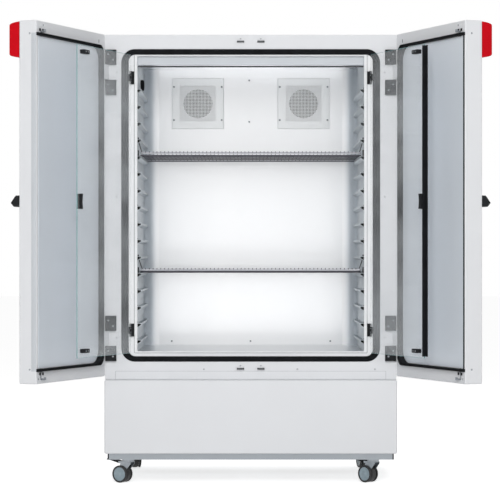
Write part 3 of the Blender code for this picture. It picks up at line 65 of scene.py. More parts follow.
JOINTS = {joint["name"]: joint for joint in frame["joints"]}
SIDES = ((-1, "left"), (1, "right"))
LEVELS = ("upper", "lower")
FORWARD, REARWARD, UPWARD, SIDEWARD = (0, -1, 0), (0, 1, 0), (0, 0, 1), (1, 0, 0)
ALONG_X, ALONG_Y, ALONG_Z = 0, 1, 2

# The camera, from the photograph
IMAGE = 500
CAMERA_Y = -9.103
CAMERA_Z = 0.9895
FOCAL_PX = 2098.0
CENTRE_PX = (250.7, 254.0)
BACK_SCREWS_PX = ((249.2, 80.4), (249.2, 121.8), (171.7, 341.1), (250.5, 341.1), (330.3, 341.1))

# Sizes that more than one piece shares
SHEET = 0.0012
FILM = 0.0002       # how far a cover stands off the solid that it covers
SCREW = 0.0042      # radius of the usual screw head
GLASS = 0.006
GLASS_HINGE_REACH = 0.541       # from the middle of a pane to its hinges
KEEPER_X = 0.0437
KEEPER_HEIGHTS = (0.498, 1.900)

# The profile of a seal: share of its width, share of its height
BELLOWS = ((0.0, 0.0), (0.0, 0.55), (0.03, 0.80), (0.12, 0.97), (0.24, 0.97), (0.33, 0.80),
           (0.37, 0.50), (0.41, 0.80), (0.50, 1.0), (0.62, 1.0), (0.71, 0.80), (0.75, 0.50),
           (0.79, 0.62), (0.90, 0.66), (0.97, 0.50), (1.0, 0.30), (1.0, 0.0))

# The lit segments of each figure on the display
SEGMENTS = {"0": "abcdef", "1": "bc", "2": "abged", "3": "abgcd", "5": "afgcd", "7": "abc"}


def photo_place(px, py, y):
    """The point at depth y that the camera sees at a pixel: similar triangles from the camera."""
    reach = (y - CAMERA_Y) / FOCAL_PX
    return (px - CENTRE_PX[0]) * reach, y, CAMERA_Z + (CENTRE_PX[1] - py) * reach


def sizes():
    return bpy.context.scene.incubator_sizes


def shades():
    return bpy.context.scene.incubator_colours


# Frames of the doors: (reach from the hinge axis, depth, height) with the door closed

def closed_frame(side, leaf):
    """The matrix of a leaf's hinge axis, turned with the leaf from closed to open."""
    joint = JOINTS["%s_%s_hinge" % (leaf, dict(SIDES)[side])]
    turn = side * math.radians(-joint["range_deg"][0])
    place = Matrix.Translation((*joint["pos_m"][:2], 0.0))
    return np.array(place @ Matrix.Rotation(turn, 4, "Z"))


def to_room(side, leaf="door"):
    """A function that carries points from a leaf's closed frame to the room."""
    matrix = closed_frame(side, leaf)

    def carry(points):
        return points * (-side, 1.0, 1.0) @ matrix[:3, :3].T + matrix[:3, 3]
    return carry


def to_leaf(points, side, leaf="door"):
    matrix = closed_frame(side, leaf)
    return (points - matrix[:3, 3]) @ matrix[:3, :3] * (-side, 1.0, 1.0)


def node_points(node):
    mesh = frame["nodes"][node].data
    points = np.zeros(len(mesh.vertices) * 3)
    mesh.vertices.foreach_get("co", points)
    return points.reshape(-1, 3)


def closed_box(node, side, leaf="door"):
    """The lowest and highest point of a leaf's node, in its closed frame."""
    points = to_leaf(node_points(node), side, leaf)
    return points.min(axis=0), points.max(axis=0)


# Surfaces

def skin(rings, wrap=True, loop=False, capped=True):
    """Points and faces through rings: point (i, j) joins (i, j + 1) and (i + 1, j).

    The rings close on themselves with wrap, the row of rings with loop, and the two ends
    close on their middle points when capped.
    """
    rings = np.asarray(rings, float)
    count, around = rings.shape[:2]
    i, j = np.meshgrid(np.arange(count if loop else count - 1),
                       np.arange(around if wrap else around - 1), indexing="ij")
    after_i, after_j = (i + 1) % count, (j + 1) % around
    quads = np.stack([i * around + j, i * around + after_j,
                      after_i * around + after_j, after_i * around + j], axis=-1)
    points = rings.reshape(-1, 3)
    faces = quads.reshape(-1, 4).tolist()
    if capped and wrap and not loop:
        step = np.arange(around)
        for ring in (0, count - 1):
            middle = len(points)
            points = np.vstack([points, rings[ring].mean(axis=0)])
            fan = np.stack([np.full(around, middle), ring * around + step,
                            ring * around + (step + 1) % around], axis=-1)
            faces += fan.tolist()
    return points, faces


def shifted(shape, offset):
    return shape[0] + offset, shape[1]


def repeated(shape, offsets):
    """A shape copied to a list of offsets, as one shape."""
    points, faces = shape
    copies = (offsets[:, None, :] + points[None]).reshape(-1, 3)
    many = [[index + copy * len(points) for index in face]
            for copy in range(len(offsets)) for face in faces]
    return copies, many


def outline(width, height, radius, steps=4):
    """A rectangle about the origin with round corners, as an array of (x, z) points."""
    angles = np.radians(np.arange(4)[:, None] * 90 + np.linspace(0, 90, steps + 1)[None])
    signs = np.array([[1, 1], [-1, 1], [-1, -1], [1, -1]])
    corners = signs * (width / 2 - radius, height / 2 - radius)
    arcs = np.stack([np.cos(angles), np.sin(angles)], axis=-1) * radius
    return (corners[:, None, :] + arcs).reshape(-1, 2)


def half_outline(wide, tall, radius, edge, middle):
    """A rectangle that ends square at x = edge, with its two other corners round."""
    curve = outline(2 * wide, tall, radius, 12)
    curve = np.vstack([(0.0, tall / 2), curve[curve[:, 0] < 0], (0.0, -tall / 2)])
    return curve + (edge, middle)


def upright(flat, y):
    """A flat outline stood up at depth y."""
    return np.column_stack([flat[:, 0], np.full(len(flat), y), flat[:, 1]])


def outline_between(inner, outer, profile, y):
    """Rings between two outlines: a profile point (share, height) lies that share of the way
    from the inner to the outer outline, and stands off the plane y by its height."""
    profile = np.asarray(profile, float)
    share = profile[None, :, :1]
    flat = inner[:, None, :] * (1 - share) + outer[:, None, :] * share
    height = np.broadcast_to(y + profile[None, :, 1], flat.shape[:2])
    return np.stack([flat[..., 0], height, flat[..., 1]], axis=-1)


def pad(low, high, edge, axis=ALONG_Y, steps=3, corner=None):
    """A box with round edges: a round-cornered outline along the axis, drawn in along a quarter
    circle at each end."""
    low, high = np.minimum(low, high), np.maximum(low, high)
    across = [index for index in range(3) if index != axis]
    size, middle = (high - low)[across], (low + high)[across] / 2
    radius = edge if corner is None else corner
    quarter = np.linspace(0, math.pi / 2, steps + 1)
    inset, rise = edge * (1 - np.sin(quarter)), edge * (1 - np.cos(quarter))
    levels = [*zip(low[axis] + rise, inset), *zip(high[axis] - rise[::-1], inset[::-1])]
    rings = []
    for level, inward in levels:
        flat = outline(*(size - 2 * inward), max(radius - inward, 0.0001), steps)
        rings.append(np.insert(flat + middle, axis, level, axis=1))
    return skin(rings)


def basis(normal):
    """Two directions square to a normal, and the normal, as the columns of a matrix."""
    normal = np.asarray(normal, float) / np.linalg.norm(normal)
    helper = np.array(UPWARD if abs(normal[2]) < 0.9 else SIDEWARD, float)
    first = np.cross(helper, normal)
    first /= np.linalg.norm(first)
    return np.stack([first, np.cross(normal, first), normal], axis=1)


def turned(profile, centre, axis, steps=32, capped=True):
    """A body of revolution: each (radius, height) of the profile turned about the axis."""
    angles = np.linspace(0, math.tau, steps, endpoint=False)
    profile = np.asarray(profile, float)
    rings = np.stack([profile[:, :1] * np.cos(angles), profile[:, :1] * np.sin(angles),
                      np.repeat(profile[:, 1:], steps, axis=1)], axis=-1)
    return skin(rings @ basis(axis).T + np.asarray(centre, float), capped=capped)


def screw_head(centre, normal, radius=SCREW, tall=0.0018):
    """A domed screw head: circles that fall off as a cube round a six-sided socket."""
    steps, socket_share, foot = 24, 0.42, -0.0004
    angles = np.linspace(0, math.tau, steps, endpoint=False)
    sixth = math.pi / 3
    hexagon = socket_share * math.cos(sixth / 2) / np.cos(angles % sixth - sixth / 2)
    profile = [(hexagon * 0.9, tall * 0.35), (hexagon, tall * 0.95)]
    profile += [(share, tall * (1 - share ** 3)) for share in (0.6, 0.8, 0.93, 1.0)]
    profile.append((1.0, foot))
    rings = [np.stack([reach * radius * np.cos(angles), reach * radius * np.sin(angles),
                       np.full(steps, z)], axis=-1) for reach, z in profile]
    return skin(np.array(rings) @ basis(normal).T + np.asarray(centre, float))


def swept(path, section, plane, closed=False):
    """A section of (outward, up) points carried along a flat path whose plane has this normal."""
    path = np.asarray(path, float)
    plane = np.asarray(plane, float)
    if closed:
        tangent = np.roll(path, -1, axis=0) - np.roll(path, 1, axis=0)
    else:
        tangent = np.gradient(path, axis=0)
    tangent /= np.linalg.norm(tangent, axis=1, keepdims=True)
    outward = np.cross(tangent, plane)
    rings = (path[:, None, :] + outward[:, None, :] * section[None, :, :1]
             + plane[None, None, :] * section[None, :, 1:])
    return skin(rings, loop=closed, capped=not closed)


def round_section(radius, sides):
    angles = np.linspace(0, math.tau, sides, endpoint=False)
    return np.stack([np.cos(angles), np.sin(angles)], axis=-1) * radius


def eased(corners, radius, steps):
    """A path whose corners are rounded: a quadratic arc between two tangent points."""
    corners = np.asarray(corners, float)
    path = [corners[0]]
    share = np.linspace(0, 1, steps + 1)[:, None]
    for before, corner, after in zip(corners, corners[1:], corners[2:]):
        arms = [before - corner, after - corner]
        lengths = [np.linalg.norm(arm) for arm in arms]
        room = min(radius, *(length / 2.1 for length in lengths))
        start, end = (corner + arm / length * room for arm, length in zip(arms, lengths))
        path += list((1 - share) ** 2 * start + 2 * share * (1 - share) * corner
                     + share ** 2 * end)
    path.append(corners[-1])
    return np.array(path)


def piece(name, shapes, look, body="cabinet", stands_for=None, carry=None, smooth=35):
    """Join shapes into one mesh with outward faces, which rides on a body."""
    points = np.concatenate([shape[0] for shape in shapes])
    if carry:
        points = carry(points)
    starts = np.cumsum([0] + [len(shape[0]) for shape in shapes[:-1]])
    faces = [[index + start for index in face]
             for shape, start in zip(shapes, starts) for face in shape[1]]
    mesh = bpy.data.meshes.new(name)
    mesh.from_pydata(points.tolist(), [], faces)
    bm = bmesh.new()
    bm.from_mesh(mesh)
    bmesh.ops.remove_doubles(bm, verts=bm.verts, dist=0.0000005)
    bmesh.ops.recalc_face_normals(bm, faces=bm.faces)
    bm.to_mesh(mesh)
    bm.free()
    mesh.shade_smooth()
    mesh.set_sharp_from_angle(angle=math.radians(smooth))
    mesh.materials.append(material(look))
    thing = bpy.data.objects.new(name, mesh)
    bpy.context.scene.collection.objects.link(thing)
    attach(thing, body)
    if stands_for:
        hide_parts(stands_for)
    return thing


def thicken(thing, thickness):
    wall = thing.modifiers.new("sheet", "SOLIDIFY")
    wall.thickness = thickness
    wall.offset = 0.0


# Materials

def look(slot, colour, second, roughness, swing=0.08, metallic=0.0, stretch=(1, 1, 1), fine=400.0,
         broad=3.0, bump=0.05, depth=0.0003, dust=0.0, specular=0.5):
    """A finish: two colours that vary by broad grain, roughness, bump and dust by fine grain.

    A colour that is a name is a colour of the scene, and its second is a share of it.
    """
    return dict(slot=slot, colour=colour, second=second, roughness=roughness, swing=swing,
                metallic=metallic, stretch=stretch, fine=fine, broad=broad, bump=bump,
                depth=depth, dust=dust, specular=specular)


BACK_WALL = (0.93, 0.938, 0.95)
BRUSHED = (1, 1, 0.02)
DRAWN = (0.05, 1, 1)
LOOKS = {
    "white_enamel": look("white_paint", "paint", 0.975, 0.46, fine=900.0, bump=0.06,
                         depth=0.0002, dust=0.05, specular=0.28),
    "bright_chamber_steel": look("stainless", BACK_WALL, (0.88, 0.893, 0.91), 0.32, 0.05, 1.0,
                                 BRUSHED, 700.0, 2.0, 0.03),
    "side_wall_steel": look("stainless", (0.62, 0.665, 0.70), (0.55, 0.595, 0.63), 0.42, 0.06,
                            0.8, (1, 1, 0.03), 700.0),
    # The coves' blue-grey is a painted reflection of the side walls in the bright steel
    "cove_steel": look("stainless", (0.74, 0.79, 0.835), (0.69, 0.74, 0.785), 0.34, 0.05, 0.45,
                       BRUSHED, 700.0, 2.0, 0.03),
    "door_liner_steel": look("stainless", "liner", 0.95, 0.34, 0.06, 0.15, BRUSHED, 800.0, 2.5),
    "fan_plate_steel": look("stainless", (0.86, 0.875, 0.885), (0.81, 0.83, 0.84), 0.40, 0.06,
                            0.9, DRAWN, 900.0, 6.0, 0.06),
    "rack_wire": look("dark_steel", (0.105, 0.105, 0.12), (0.07, 0.07, 0.08), 0.34,
                      metallic=0.75, fine=500.0, broad=20.0),
    "rack_front_bar": look("dark_steel", (0.50, 0.51, 0.54), (0.36, 0.37, 0.40), 0.30, 0.06, 0.9,
                           DRAWN, 600.0, 12.0),
    "zinc_plate": look("zinc", (0.33, 0.355, 0.38), (0.25, 0.275, 0.30), 0.34, 0.10, 0.9,
                       fine=260.0, broad=30.0, bump=0.08),
    "base_plate": look("zinc", (0.345, 0.37, 0.395), (0.315, 0.34, 0.365), 0.34, 0.05, 0.85,
                       (0.1, 1, 1), broad=8.0),
    # Also the painted shade lines at the foot of the lip's bead
    "keeper_zinc": look("zinc", (0.13, 0.135, 0.14), (0.08, 0.085, 0.09), 0.34, 0.10, 0.8,
                        fine=260.0, broad=60.0, bump=0.08),
    "seal_rubber": look("black_rubber", (0.008, 0.009, 0.010), (0.013, 0.014, 0.016), 0.66,
                        fine=1500.0, broad=25.0, bump=0.10, depth=0.0001, dust=0.02,
                        specular=0.06),
    "wheel_tyre": look("black_rubber", (0.010, 0.010, 0.011), (0.02, 0.02, 0.021), 0.55,
                       fine=1200.0, broad=60.0, bump=0.12, dust=0.25),
    "black_nylon": look("black_plastic", (0.009, 0.010, 0.011), (0.015, 0.016, 0.018), 0.50,
                        fine=2200.0, broad=40.0, bump=0.10, depth=0.0001, dust=0.04,
                        specular=0.14),
    "wheel_disc_grey": look("black_plastic", (0.30, 0.37, 0.41), (0.22, 0.29, 0.33), 0.36,
                            fine=900.0, broad=40.0, dust=0.10),
    "red_cover": look("red_plastic", "housing", 0.86, 0.28, 0.05, fine=1100.0, broad=8.0,
                      bump=0.04, depth=0.0001, specular=0.10),
    "lip_plastic": look("white_plastic", (0.80, 0.81, 0.82), (0.74, 0.755, 0.77), 0.42, 0.06,
                        fine=1500.0, broad=6.0, depth=0.0001),
    "edge_trim": look("white_plastic", (0.56, 0.585, 0.615), (0.53, 0.555, 0.585), 0.35, 0.05,
                      fine=900.0, broad=5.0),
    # Also the painted shade strip under the mouth header
    "dark_coat": look("dark_steel", (0.035, 0.036, 0.040), (0.055, 0.056, 0.06), 0.45, 0.10, 0.3,
                      fine=500.0, broad=12.0, dust=0.3),
    "coil_fins": look("zinc", (0.62, 0.64, 0.66), (0.46, 0.48, 0.50), 0.35, metallic=0.9,
                      stretch=(1, 1, 0.1), fine=500.0, broad=14.0, dust=0.2),
    "screw_steel": look("dark_steel", (0.40, 0.42, 0.44), (0.28, 0.30, 0.32), 0.28, metallic=1.0,
                        fine=800.0, broad=90.0),
    # Also the painted shadow lines along the seam strip
    "painted_screw": look("white_paint", (0.50, 0.51, 0.53), (0.42, 0.43, 0.45), 0.40, 0.06,
                          fine=800.0, broad=90.0),
    "rigid_foam": look("foam", (0.075, 0.072, 0.068), (0.05, 0.048, 0.045), 0.90, 0.05,
                       fine=180.0, broad=12.0, bump=0.6, depth=0.001),
    "contact_brass": look("zinc", (0.72, 0.50, 0.20), (0.55, 0.37, 0.14), 0.28, 0.06, 1.0),
    "glass_edge": look("glass", (0.10, 0.27, 0.28), (0.16, 0.36, 0.37), 0.18, 0.05, fine=500.0,
                       broad=20.0, bump=0.03),
    # The panes' pale film is a painted reflection of the bright room on the glass
    "pane_glass": look("glass", (0.92, 0.95, 0.97), (0.88, 0.92, 0.945), 0.05, 0.03,
                       stretch=(1, 1, 4.0), fine=6.0, broad=0.9, bump=0.0),
    "screen_glow": look("black_plastic", (0.02, 0.05, 0.08), (0.03, 0.06, 0.09), 0.18, 0.03,
                        fine=300.0, broad=20.0, bump=0.0),
    "digit_glow": look("black_plastic", (0.75, 0.88, 0.95), (0.70, 0.84, 0.92), 0.4, 0.05,
                       fine=300.0, broad=20.0, bump=0.0),
}
SOLIDS = {
    "white_enamel": "outer_casing front_frame base_front_panel rear_panel door_shell_left "
                    "door_shell_right",
    "bright_chamber_steel": "chamber_back_wall chamber_floor chamber_ceiling",
    "side_wall_steel": "chamber_wall_left chamber_wall_right",
    "base_plate": "base_frame",
    "zinc_plate": "latch_rod_left latch_rod_right caster_fork_front_left "
                  "caster_fork_front_right caster_fork_rear_left caster_fork_rear_right",
    "lip_plastic": "chamber_lip port_sleeve",
    "rigid_foam": "insulation",
    "seal_rubber": "glass_seal_strip",
    "black_nylon": "mains_inlet door_hinge_left_lower door_hinge_left_upper "
                   "door_hinge_right_lower door_hinge_right_upper condenser_shroud "
                   "condenser_fan_rotor fan_rotor_left fan_rotor_right "
                   "brake_pedal_front_left brake_pedal_front_right",
    "dark_coat": "compressor heater_element fan_motor_left fan_motor_right",
    "coil_fins": "evaporator condenser",
    "screen_glow": "display_screen",
}


def shader_node(tree, kind, inputs, **settings):
    """A node with its settings, and with a value or a link for each named input."""
    node = tree.nodes.new("ShaderNode" + kind)
    for name, value in settings.items():
        setattr(node, name, value)
    for name, value in inputs.items():
        if isinstance(value, bpy.types.NodeSocket):
            tree.links.new(value, node.inputs[name])
        else:
            node.inputs[name].default_value = value
    return node


def shader_group(name, numbers, masks, fill):
    """A node group from a vector and numbers to masks, filled on its first use."""
    tree = bpy.data.node_groups.get(name)
    if tree:
        return tree
    tree = bpy.data.node_groups.new(name, "ShaderNodeTree")
    tree.interface.new_socket("Vector", in_out="INPUT", socket_type="NodeSocketVector")
    for label, default in numbers:
        socket = tree.interface.new_socket(label, in_out="INPUT", socket_type="NodeSocketFloat")
        socket.default_value = default
    for label in masks:
        tree.interface.new_socket(label, in_out="OUTPUT", socket_type="NodeSocketFloat")
    start, end = tree.nodes.new("NodeGroupInput"), tree.nodes.new("NodeGroupOutput")
    for label, result in fill(tree, start.outputs).items():
        tree.links.new(result, end.inputs[label])
    return tree


def grain(tree, given):
    """Noise on a stretched vector: a soft mask, and a fine one for height."""
    return {label + " Mask": shader_node(tree, "TexNoise", {
        "Vector": given["Vector"], "Scale": given[label], "Detail": detail}).outputs["Fac"]
        for label, detail in (("Fine", 3.0), ("Broad", 2.0))}


def settled_dust(tree, given):
    """A mask that is stronger where the surface looks up, broken up by noise."""
    normal = shader_node(tree, "NewGeometry", {}).outputs["Normal"]
    split = shader_node(tree, "SeparateXYZ", {0: normal})
    noise = shader_node(tree, "TexNoise", {"Vector": given["Vector"], "Scale": 9.0, "Detail": 4.0})
    up = shader_node(tree, "Math", {0: split.outputs["Z"], 1: noise.outputs["Fac"]},
                     operation="MULTIPLY", use_clamp=True)
    amount = shader_node(tree, "Math", {0: up.outputs[0], 1: given["Amount"]},
                         operation="MULTIPLY")
    return {"Mask": amount.outputs[0]}


def material(name):
    """The material of a look, made on its first use."""
    made = bpy.data.materials.get(name)
    if made:
        return made
    made = bpy.data.materials.new(name)
    made.use_nodes = True
    tree, chosen = made.node_tree, LOOKS[name]
    colour, second = chosen["colour"], chosen["second"]
    if isinstance(colour, str):
        colour = getattr(shades(), colour)
        second = [value * second for value in colour]
    place = shader_node(tree, "TexCoord", {}).outputs["Object"]
    mapping = shader_node(tree, "Mapping", {"Vector": place, "Scale": chosen["stretch"]})
    group = shader_group("surface_grain", (("Fine", 300.0), ("Broad", 4.0)),
                         ("Fine Mask", "Broad Mask"), grain)
    masks = shader_node(tree, "Group", {
        "Vector": mapping.outputs["Vector"], "Fine": chosen["fine"], "Broad": chosen["broad"]},
        node_tree=group).outputs
    spread = shader_node(tree, "MapRange", {
        "Value": masks["Broad Mask"], "From Min": 0.3, "From Max": 0.7})
    tone = shader_node(tree, "Mix", {
        "Factor": spread.outputs["Result"], "A": (*colour, 1.0), "B": (*second, 1.0)},
        data_type="RGBA")
    if chosen["dust"]:
        group = shader_group("settled_dust", (("Amount", 0.1),), ("Mask",), settled_dust)
        dust = shader_node(tree, "Group", {"Vector": place, "Amount": chosen["dust"]},
                           node_tree=group)
        tone = shader_node(tree, "Mix", {
            "Factor": dust.outputs["Mask"], "A": tone.outputs["Result"],
            "B": (0.45, 0.44, 0.42, 1.0)}, data_type="RGBA")
    rough = shader_node(tree, "MapRange", {
        "Value": masks["Fine Mask"], "To Min": chosen["roughness"] - chosen["swing"],
        "To Max": chosen["roughness"] + chosen["swing"]})
    raised = shader_node(tree, "Bump", {
        "Height": masks["Fine Mask"], "Strength": chosen["bump"], "Distance": chosen["depth"]})
    shader = tree.nodes["Principled BSDF"]
    shader.inputs["Metallic"].default_value = chosen["metallic"]
    shader.inputs["Specular IOR Level"].default_value = chosen["specular"]
    for name_in, node, name_out in (("Base Color", tone, "Result"), ("Roughness", rough, "Result"),
                                    ("Normal", raised, "Normal")):
        tree.links.new(node.outputs[name_out], shader.inputs[name_in])
    if name in EXTRAS:
        EXTRAS[name](tree, shader, place, masks)
    return made


def cove_span():
    """How far from the middle the chamber's coves start and end."""
    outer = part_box("chamber_wall_right")[1].x - SHEET
    return outer - sizes().cove_radius, outer


def paint_cove_reflection(tree, shader, place, masks):
    """Run from the back wall's bright tone to the side walls' blue-grey: a painted reflection of
    the side walls.
    """
    inner, outer = cove_span()
    split = shader_node(tree, "SeparateXYZ", {0: place})
    side = shader_node(tree, "Math", {0: split.outputs["X"]}, operation="ABSOLUTE")
    share = shader_node(tree, "MapRange", {
        "Value": side.outputs[0], "From Min": inner, "From Max": inner + (outer - inner) * 0.7},
        interpolation_type="SMOOTHSTEP")
    base = shader.inputs["Base Color"]
    tone = shader_node(tree, "Mix", {
        "Factor": share.outputs["Result"], "A": (*BACK_WALL, 1.0), "B": base.links[0].from_socket},
        data_type="RGBA")
    tree.links.new(tone.outputs["Result"], base)


def paint_pane_reflection(tree, shader, place, masks):
    """A pale film in broad streaks over what lies behind the glass, which lets light by: a painted
    reflection of the bright room.
    """
    film = shader_node(tree, "MapRange", {
        "Value": masks["Broad Mask"], "From Min": 0.35, "From Max": 0.65,
        "To Min": shades().veil * 0.5, "To Max": shades().veil * 1.6})
    path = shader_node(tree, "LightPath", {})
    lit = shader_node(tree, "Math", {0: film.outputs["Result"], 1: path.outputs["Is Shadow Ray"]},
                      operation="SUBTRACT", use_clamp=True)
    tree.links.new(lit.outputs[0], shader.inputs["Alpha"])


def light_digits(tree, shader, place, masks):
    shader.inputs["Emission Color"].default_value = (0.7, 0.9, 1.0, 1.0)
    shader.inputs["Emission Strength"].default_value = 0.6


EXTRAS = {"cove_steel": paint_cove_reflection, "pane_glass": paint_pane_reflection, "digit_glow": light_digits}


# Operators

class INCUBATOR_OT_cad_finishes(bpy.types.Operator):
    """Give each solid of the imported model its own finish"""
    bl_idname = "incubator.cad_finishes"
    bl_label = "Finish the solids"

    def execute(self, context):
        for name, nodes in SOLIDS.items():
            for node in nodes.split():
                mesh = frame["nodes"][node].data
                mesh.materials.clear()
                mesh.materials.append(material(name))
        return {"FINISHED"}


class INCUBATOR_OT_fan_grilles(bpy.types.Operator):
    """Make the pressed fan covers with their fine square perforation"""
    bl_idname = "incubator.fan_grilles"
    bl_label = "Fan grilles"

    def execute(self, context):
        count, pitch, hole = sizes().grille_count, sizes().grille_pitch, sizes().grille_hole
        rim = np.array((0.0, 0.0003, 0.0012, 0.0025))
        fold, screw_x, screw_z = 0.0006, 0.1095, 0.076

        def breaks(low, high):
            holes = (low + high) / 2 + (np.arange(count) - (count - 1) / 2) * pitch
            sides = np.stack([holes - hole / 2, holes + hole / 2], axis=1).ravel()
            return np.concatenate([low + rim, sides, high - rim[::-1]])

        for _, name in SIDES:
            low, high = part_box("fan_cover_" + name)
            xs, zs = breaks(low.x, high.x), breaks(low.z, high.z)
            ranks = [np.minimum(np.arange(len(v)), np.arange(len(v))[::-1]) for v in (xs, zs)]
            inset = np.minimum(ranks[0][:, None], ranks[1][None, :])
            y = np.select([inset == 0, inset == 1], [high.y, low.y + fold], low.y)
            grid = np.stack(np.broadcast_arrays(xs[:, None], y, zs[None, :]), axis=-1)
            i, j = np.meshgrid(np.arange(len(xs) - 1), np.arange(len(zs) - 1), indexing="ij")
            inside = (np.minimum(i, j) >= len(rim)) & (i < len(xs) - len(rim))
            inside &= j < len(zs) - len(rim)
            keep = ~(inside & (i % 2 == 0) & (j % 2 == 0))
            start = (i * len(zs) + j)[keep]
            faces = start[:, None] + (0, len(zs), len(zs) + 1, 1)
            plate = piece("fan_grille_" + name, [(grid.reshape(-1, 3), faces.tolist())],
                          "fan_plate_steel", stands_for="fan_cover_" + name)
            plate.data.shade_flat()
            thicken(plate, SHEET)
            middle_x, middle_z = (low.x + high.x) / 2, (low.z + high.z) / 2
            heads = [screw_head((middle_x + x, low.y - fold, middle_z + z), FORWARD, 0.0045)
                     for x in (-screw_x, screw_x) for z in (-screw_z, screw_z)]
            piece("fan_grille_screws_" + name, heads, "screw_steel")
        return {"FINISHED"}


class INCUBATOR_OT_shelves(bpy.types.Operator):
    """Make the wire racks with bent wires, cross rods and a bright front bar"""
    bl_idname = "incubator.shelves"
    bl_label = "Shelves"

    def execute(self, context):
        wire, pitch = sizes().wire_radius, sizes().wire_pitch
        rod, gap, nose, lip, tail, margin = 0.0022, 0.0004, 0.0055, 0.0105, 0.007, 0.03
        for level in LEVELS:
            body = node = "shelf_" + level
            low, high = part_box(node)
            size = high - low
            radius = size.z * 0.4
            wire_z = low.z + 0.0095
            ring = outline(size.x - 2 * radius, size.y - 2 * radius, 0.014, 6)
            path = np.column_stack([ring + ((low.x + high.x) / 2, (low.y + high.y) / 2),
                                    np.full(len(ring), low.z + radius)])
            shapes = [swept(path, round_section(radius, 12), UPWARD, closed=True)]
            for share in np.linspace(0.12, 0.88, 5):
                path = [(x, low.y + size.y * share, wire_z - 0.0035)
                        for x in (low.x + radius, 0.0, high.x - radius)]
                shapes.append(swept(path, round_section(rod, 8), UPWARD))
            front, back = low.y + wire + gap, high.y - wire - gap
            corners = [(0, front, wire_z + 0.004), (0, front, wire_z + lip),
                       (0, front + nose, wire_z + lip), (0, front + nose, wire_z),
                       (0, back, wire_z), (0, back, wire_z - tail)]
            bent = swept(eased(corners, 0.003, 3), round_section(wire, 6), SIDEWARD)
            count = int((size.x - margin) / pitch)
            xs = (np.arange(count) - (count - 1) / 2) * pitch
            shapes.append(repeated(bent, np.outer(xs, SIDEWARD)))
            piece("rack_" + level, shapes, "rack_wire", body, node)
            bar = pad((low.x + 0.003, low.y + 0.0018, wire_z),
                      (high.x - 0.003, low.y + 0.0042, wire_z + 0.0085), 0.0008, ALONG_X)
            piece("rack_front_" + level, [bar], "rack_front_bar", body)
        return {"FINISHED"}


def rail_tops():
    """Heights of the rails' flat tops: where the side wall's points stand furthest in, each a
    little above the rail's lower edge."""
    points = node_points("chamber_wall_right")
    proud = points[points[:, 0] < points[:, 0].min() + 0.0005]
    heights = np.unique(np.round(proud[:, 2], 4))
    return heights[1:][np.diff(heights) < 0.02]


class INCUBATOR_OT_rack_clips(bpy.types.Operator):
    """Make the black wire clips that hold the racks against tipping, and the rail studs"""
    bl_idname = "incubator.rack_clips"
    bl_label = "Rack clips and rail studs"

    def execute(self, context):
        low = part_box("chamber_wall_right")[0]
        wall, front = low.x + 0.016, low.y
        share = np.linspace(0, 1, 16)
        for level in LEVELS:
            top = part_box("shelf_" + level)[1].z
            shapes = []
            for side, _ in SIDES:
                path = np.column_stack([side * (wall - 0.004 - 0.010 * share ** 2),
                                        front + 0.006 + 0.14 * share ** 1.5,
                                        top + 0.066 - 0.058 * share ** 1.3])
                shapes.append(swept(path, round_section(0.0019, 8), SIDEWARD))
                for foot, head, deep in ((-0.024, 0.018, 0.006), (0.055, 0.072, 0.008)):
                    shapes.append(pad((side * (wall - 0.0005), front + 0.001, top + foot),
                                      (side * (wall - 0.006), front + deep, top + head), 0.001))
            piece("rack_clips_" + level, shapes, "black_nylon")
        profile = [(0.0, 0.0012), (0.0012, 0.0010), (0.0019, 0.0003), (0.0019, -0.001)]
        studs = [turned(profile, (side * (wall - 0.0008), front + 0.007, z + 0.004),
                        (-side, 0, 0), 14) for side, _ in SIDES for z in rail_tops()]
        piece("rail_studs", studs, "black_nylon")
        return {"FINISHED"}


class INCUBATOR_OT_coves(bpy.types.Operator):
    """Round the chamber's rear corners: a quarter circle of bright sheet between two walls, with
    painted reflection
    """
    bl_idname = "incubator.coves"
    bl_label = "Chamber coves"

    def execute(self, context):
        wall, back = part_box("chamber_wall_right"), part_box("chamber_back_wall")[0].y
        radius, outer = sizes().cove_radius, cove_span()[1]
        turn = np.linspace(0, math.pi / 2, 13)
        inward = np.append(radius * (1 - np.cos(turn)), 0.0)
        forward = np.append(radius * (1 - np.sin(turn)), 0.0)
        shapes = [skin([np.column_stack([side * (outer - inward), back - forward,
                                         np.full(len(inward), end.z - FILM)]) for end in wall],
                       capped=False) for side, _ in SIDES]
        piece("chamber_coves", shapes, "cove_steel", smooth=60)
        return {"FINISHED"}


